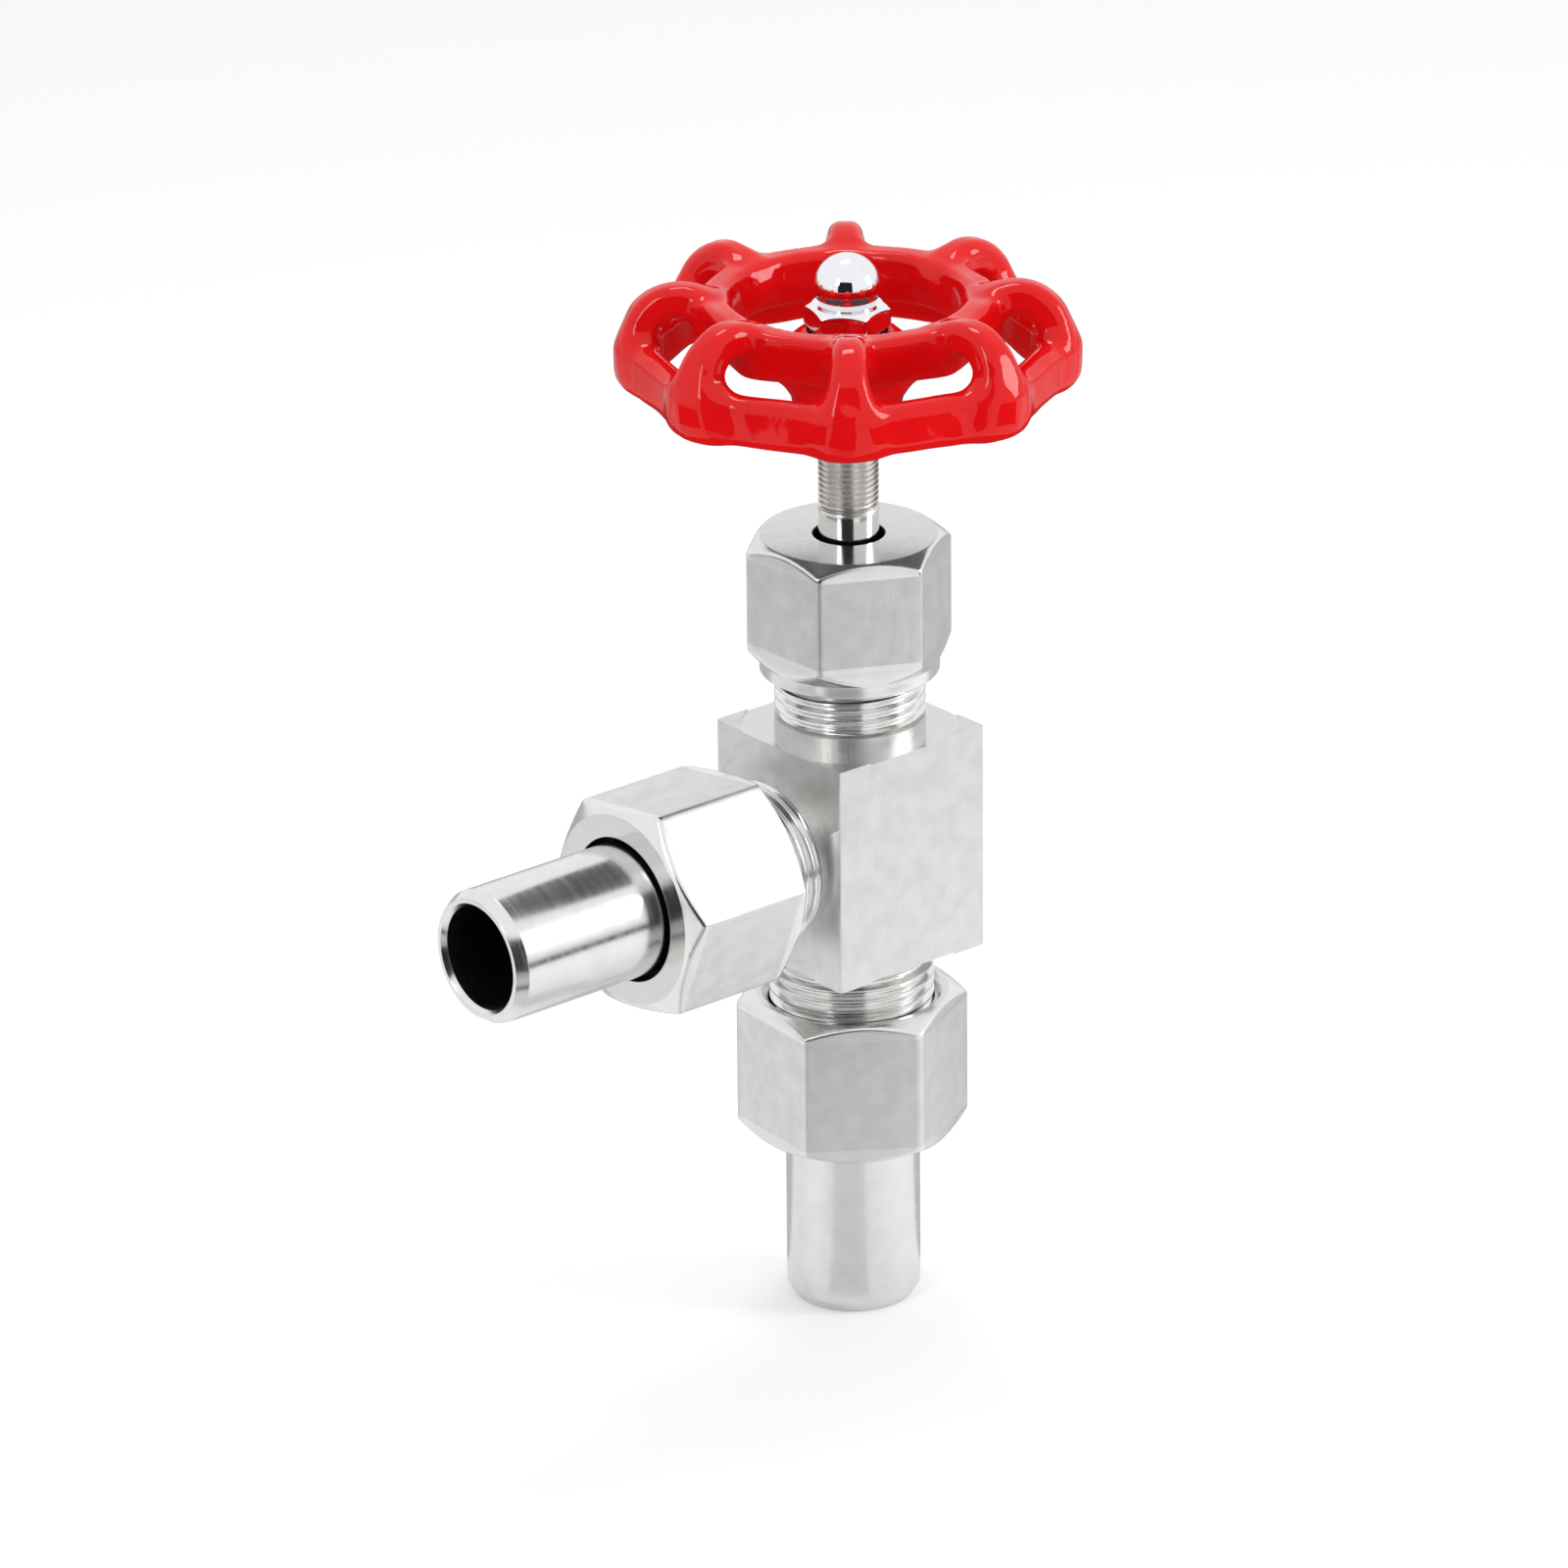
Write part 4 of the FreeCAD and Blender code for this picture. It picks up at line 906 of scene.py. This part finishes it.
def make_floor():
    """A wide white floor. A camera ray sees it a little brighter, so that it ends in white."""
    material, tree, shader = new_material("pale_floor", (1.0, 1.0, 1.0), 0.0, 0.7)
    shader.inputs["Specular IOR Level"].default_value = 0.2
    shader.inputs["Emission Color"].default_value = (1, 1, 1, 1)
    paths = tree.nodes.new("ShaderNodeLightPath")
    lift = spread(tree, paths.outputs["Is Camera Ray"], 0, 1, 0, 0.1)
    tree.links.new(lift, shader.inputs["Emission Strength"])
    size, level = 6000, -0.02
    corners = [(-size, -size, level), (size, -size, level), (size, size, level), (-size, size, level)]
    piece_from("floor", corners, [(0, 1, 2, 3)], [material])


def make_world():
    """A white tent all round, which gives a little less light than it shows."""
    world = bpy.data.worlds.new("tent")
    bpy.context.scene.world = world
    world.use_nodes = True
    tree = world.node_tree
    back = tree.nodes["Background"]
    back.inputs["Color"].default_value = (1, 1, 1, 1)
    paths = tree.nodes.new("ShaderNodeLightPath")
    seen = tree.nodes.new("ShaderNodeMath")
    seen.operation = "MAXIMUM"
    tree.links.new(paths.outputs["Is Camera Ray"], seen.inputs[0])
    tree.links.new(paths.outputs["Is Glossy Ray"], seen.inputs[1])
    tree.links.new(spread(tree, seen.outputs[0], 0, 1, 0.76, 1.0), back.inputs["Strength"])


def make_lamp(name, place, aim, wide, high, radiance):
    """A soft upright lamp of a given brightness, where the white tent has 1."""
    light = bpy.data.lights.new(name, "AREA")
    light.shape = "RECTANGLE"
    light.size, light.size_y = wide * MM, high * MM
    light.energy = radiance * math.pi * light.size * light.size_y
    lamp = bpy.data.objects.new(name, light)
    bpy.context.scene.collection.objects.link(lamp)
    lamp.location = Vector(place) * MM
    lamp.rotation_mode = "QUATERNION"
    lamp.rotation_quaternion = (Vector(place) - Vector(aim)).to_track_quat("Z", "Y")


def make_card(name, corners, shade):
    """A dark or grey card that shows in reflections only and throws no shadow."""
    material, tree, shader = new_material(name + "_card", (shade,) * 3, 0.0, 0.9)
    shader.inputs["Specular IOR Level"].default_value = 0.0
    card = piece_from(name, corners, [tuple(range(len(corners)))], [material])
    card.visible_camera = False
    card.visible_diffuse = False
    card.visible_shadow = False


AZIMUTH, ELEVATION, ROLL = math.radians(-40.01), math.radians(22.77), math.radians(0.56)
RIGHT = Vector((math.cos(AZIMUTH), math.sin(AZIMUTH), 0))
BACK = Vector((math.sin(AZIMUTH) * math.cos(ELEVATION),
               -math.cos(AZIMUTH) * math.cos(ELEVATION),
               math.sin(ELEVATION)))
UP = BACK.cross(RIGHT)


def make_camera():
    """The photograph's view, from a little over a metre away."""
    away, side_shift, up_shift, target = 1307.0, 8.79, -7.95, 64.92
    aim = Vector((0, 0, target)) - RIGHT * side_shift - UP * up_shift
    across = RIGHT * math.cos(ROLL) - UP * math.sin(ROLL)
    upward = RIGHT * math.sin(ROLL) + UP * math.cos(ROLL)
    place = Matrix((across, upward, BACK)).transposed().to_4x4()
    place.translation = (aim + BACK * away) * MM
    data = bpy.data.cameras.new("camera")
    data.lens = 226.4
    data.sensor_width = 36.0
    data.clip_start, data.clip_end = 0.05, 30.0
    camera = bpy.data.objects.new("camera", data)
    bpy.context.scene.collection.objects.link(camera)
    camera.matrix_world = place
    bpy.context.scene.camera = camera


def floor_spot(away, turn, height=0.4):
    """A place at a distance from the stem's axis, turned from the camera's direction."""
    heading = AZIMUTH - math.pi / 2 + math.radians(turn)
    return (away * math.cos(heading), away * math.sin(heading), height)


def make_ring_card(name, near, far, first, last, height, steps, shade):
    """A flat card between two distances and two directions."""
    turns = np.linspace(first, last, steps)
    inner = [floor_spot(near, turn, height) for turn in turns]
    outer = [floor_spot(far, turn, height) for turn in turns[::-1]]
    make_card(name, inner + outer, shade)


def make_cards():
    """What the steel and the enamel mirror besides the tent.

    Upright steel mirrors the floor in front of it, further out the higher it is. The stripes darken the threads and
    the stem, and the wings keep the rim red. The dark ring under the wheel is painted shade: it stands in the
    reflections for the wheel's shaded underside and keeps its red off the side tail."""
    floor_height, dark = 0.4, 0.02
    left_edge, right_edge = -32, 18
    stripes = (
        (14, 64, 0.80), (64, 114, 0.75), (114, 132, dark), (132, 206, 0.60), (206, 226, dark), (226, 262, 0.90),
        (262, 950, dark))
    for number, (near, far, shade) in enumerate(stripes):
        make_ring_card(f"front_{number}", near, far, left_edge, right_edge, floor_height, 13, shade)
    make_ring_card("left", 285, 800, -95, -44, floor_height, 13, dark)
    make_ring_card("right", 285, 800, 42, 80, floor_height, 13, dark)
    make_ring_card("back", 14, 3000, 118, 242, floor_height, 13, 0.55)
    away, top = 950, 640
    make_card("camera_gap", [
        floor_spot(away, left_edge), floor_spot(away, right_edge),
        floor_spot(away, right_edge, top), floor_spot(away, left_edge, top)], dark)
    # A dark ring of painted shade under the wheel, mirrored in place of its shaded underside.
    make_ring_card("under_wheel_painted_shade", 4.4, 33, 0, 360, 125.6, 49, 0.12)


make_floor()
make_world()
make_camera()
make_lamp("key_lamp", (560, -560, 360), (0, 0, 70), 230, 340, 8.0)
make_lamp("left_lamp", (-620, -160, 470), (0, 0, 100), 130, 260, 6.0)
make_lamp("top_lamp", (70, 130, 560), (0, 0, 140), 170, 110, 8.0)
make_cards()
bpy.context.scene.view_settings.view_transform = "Standard"
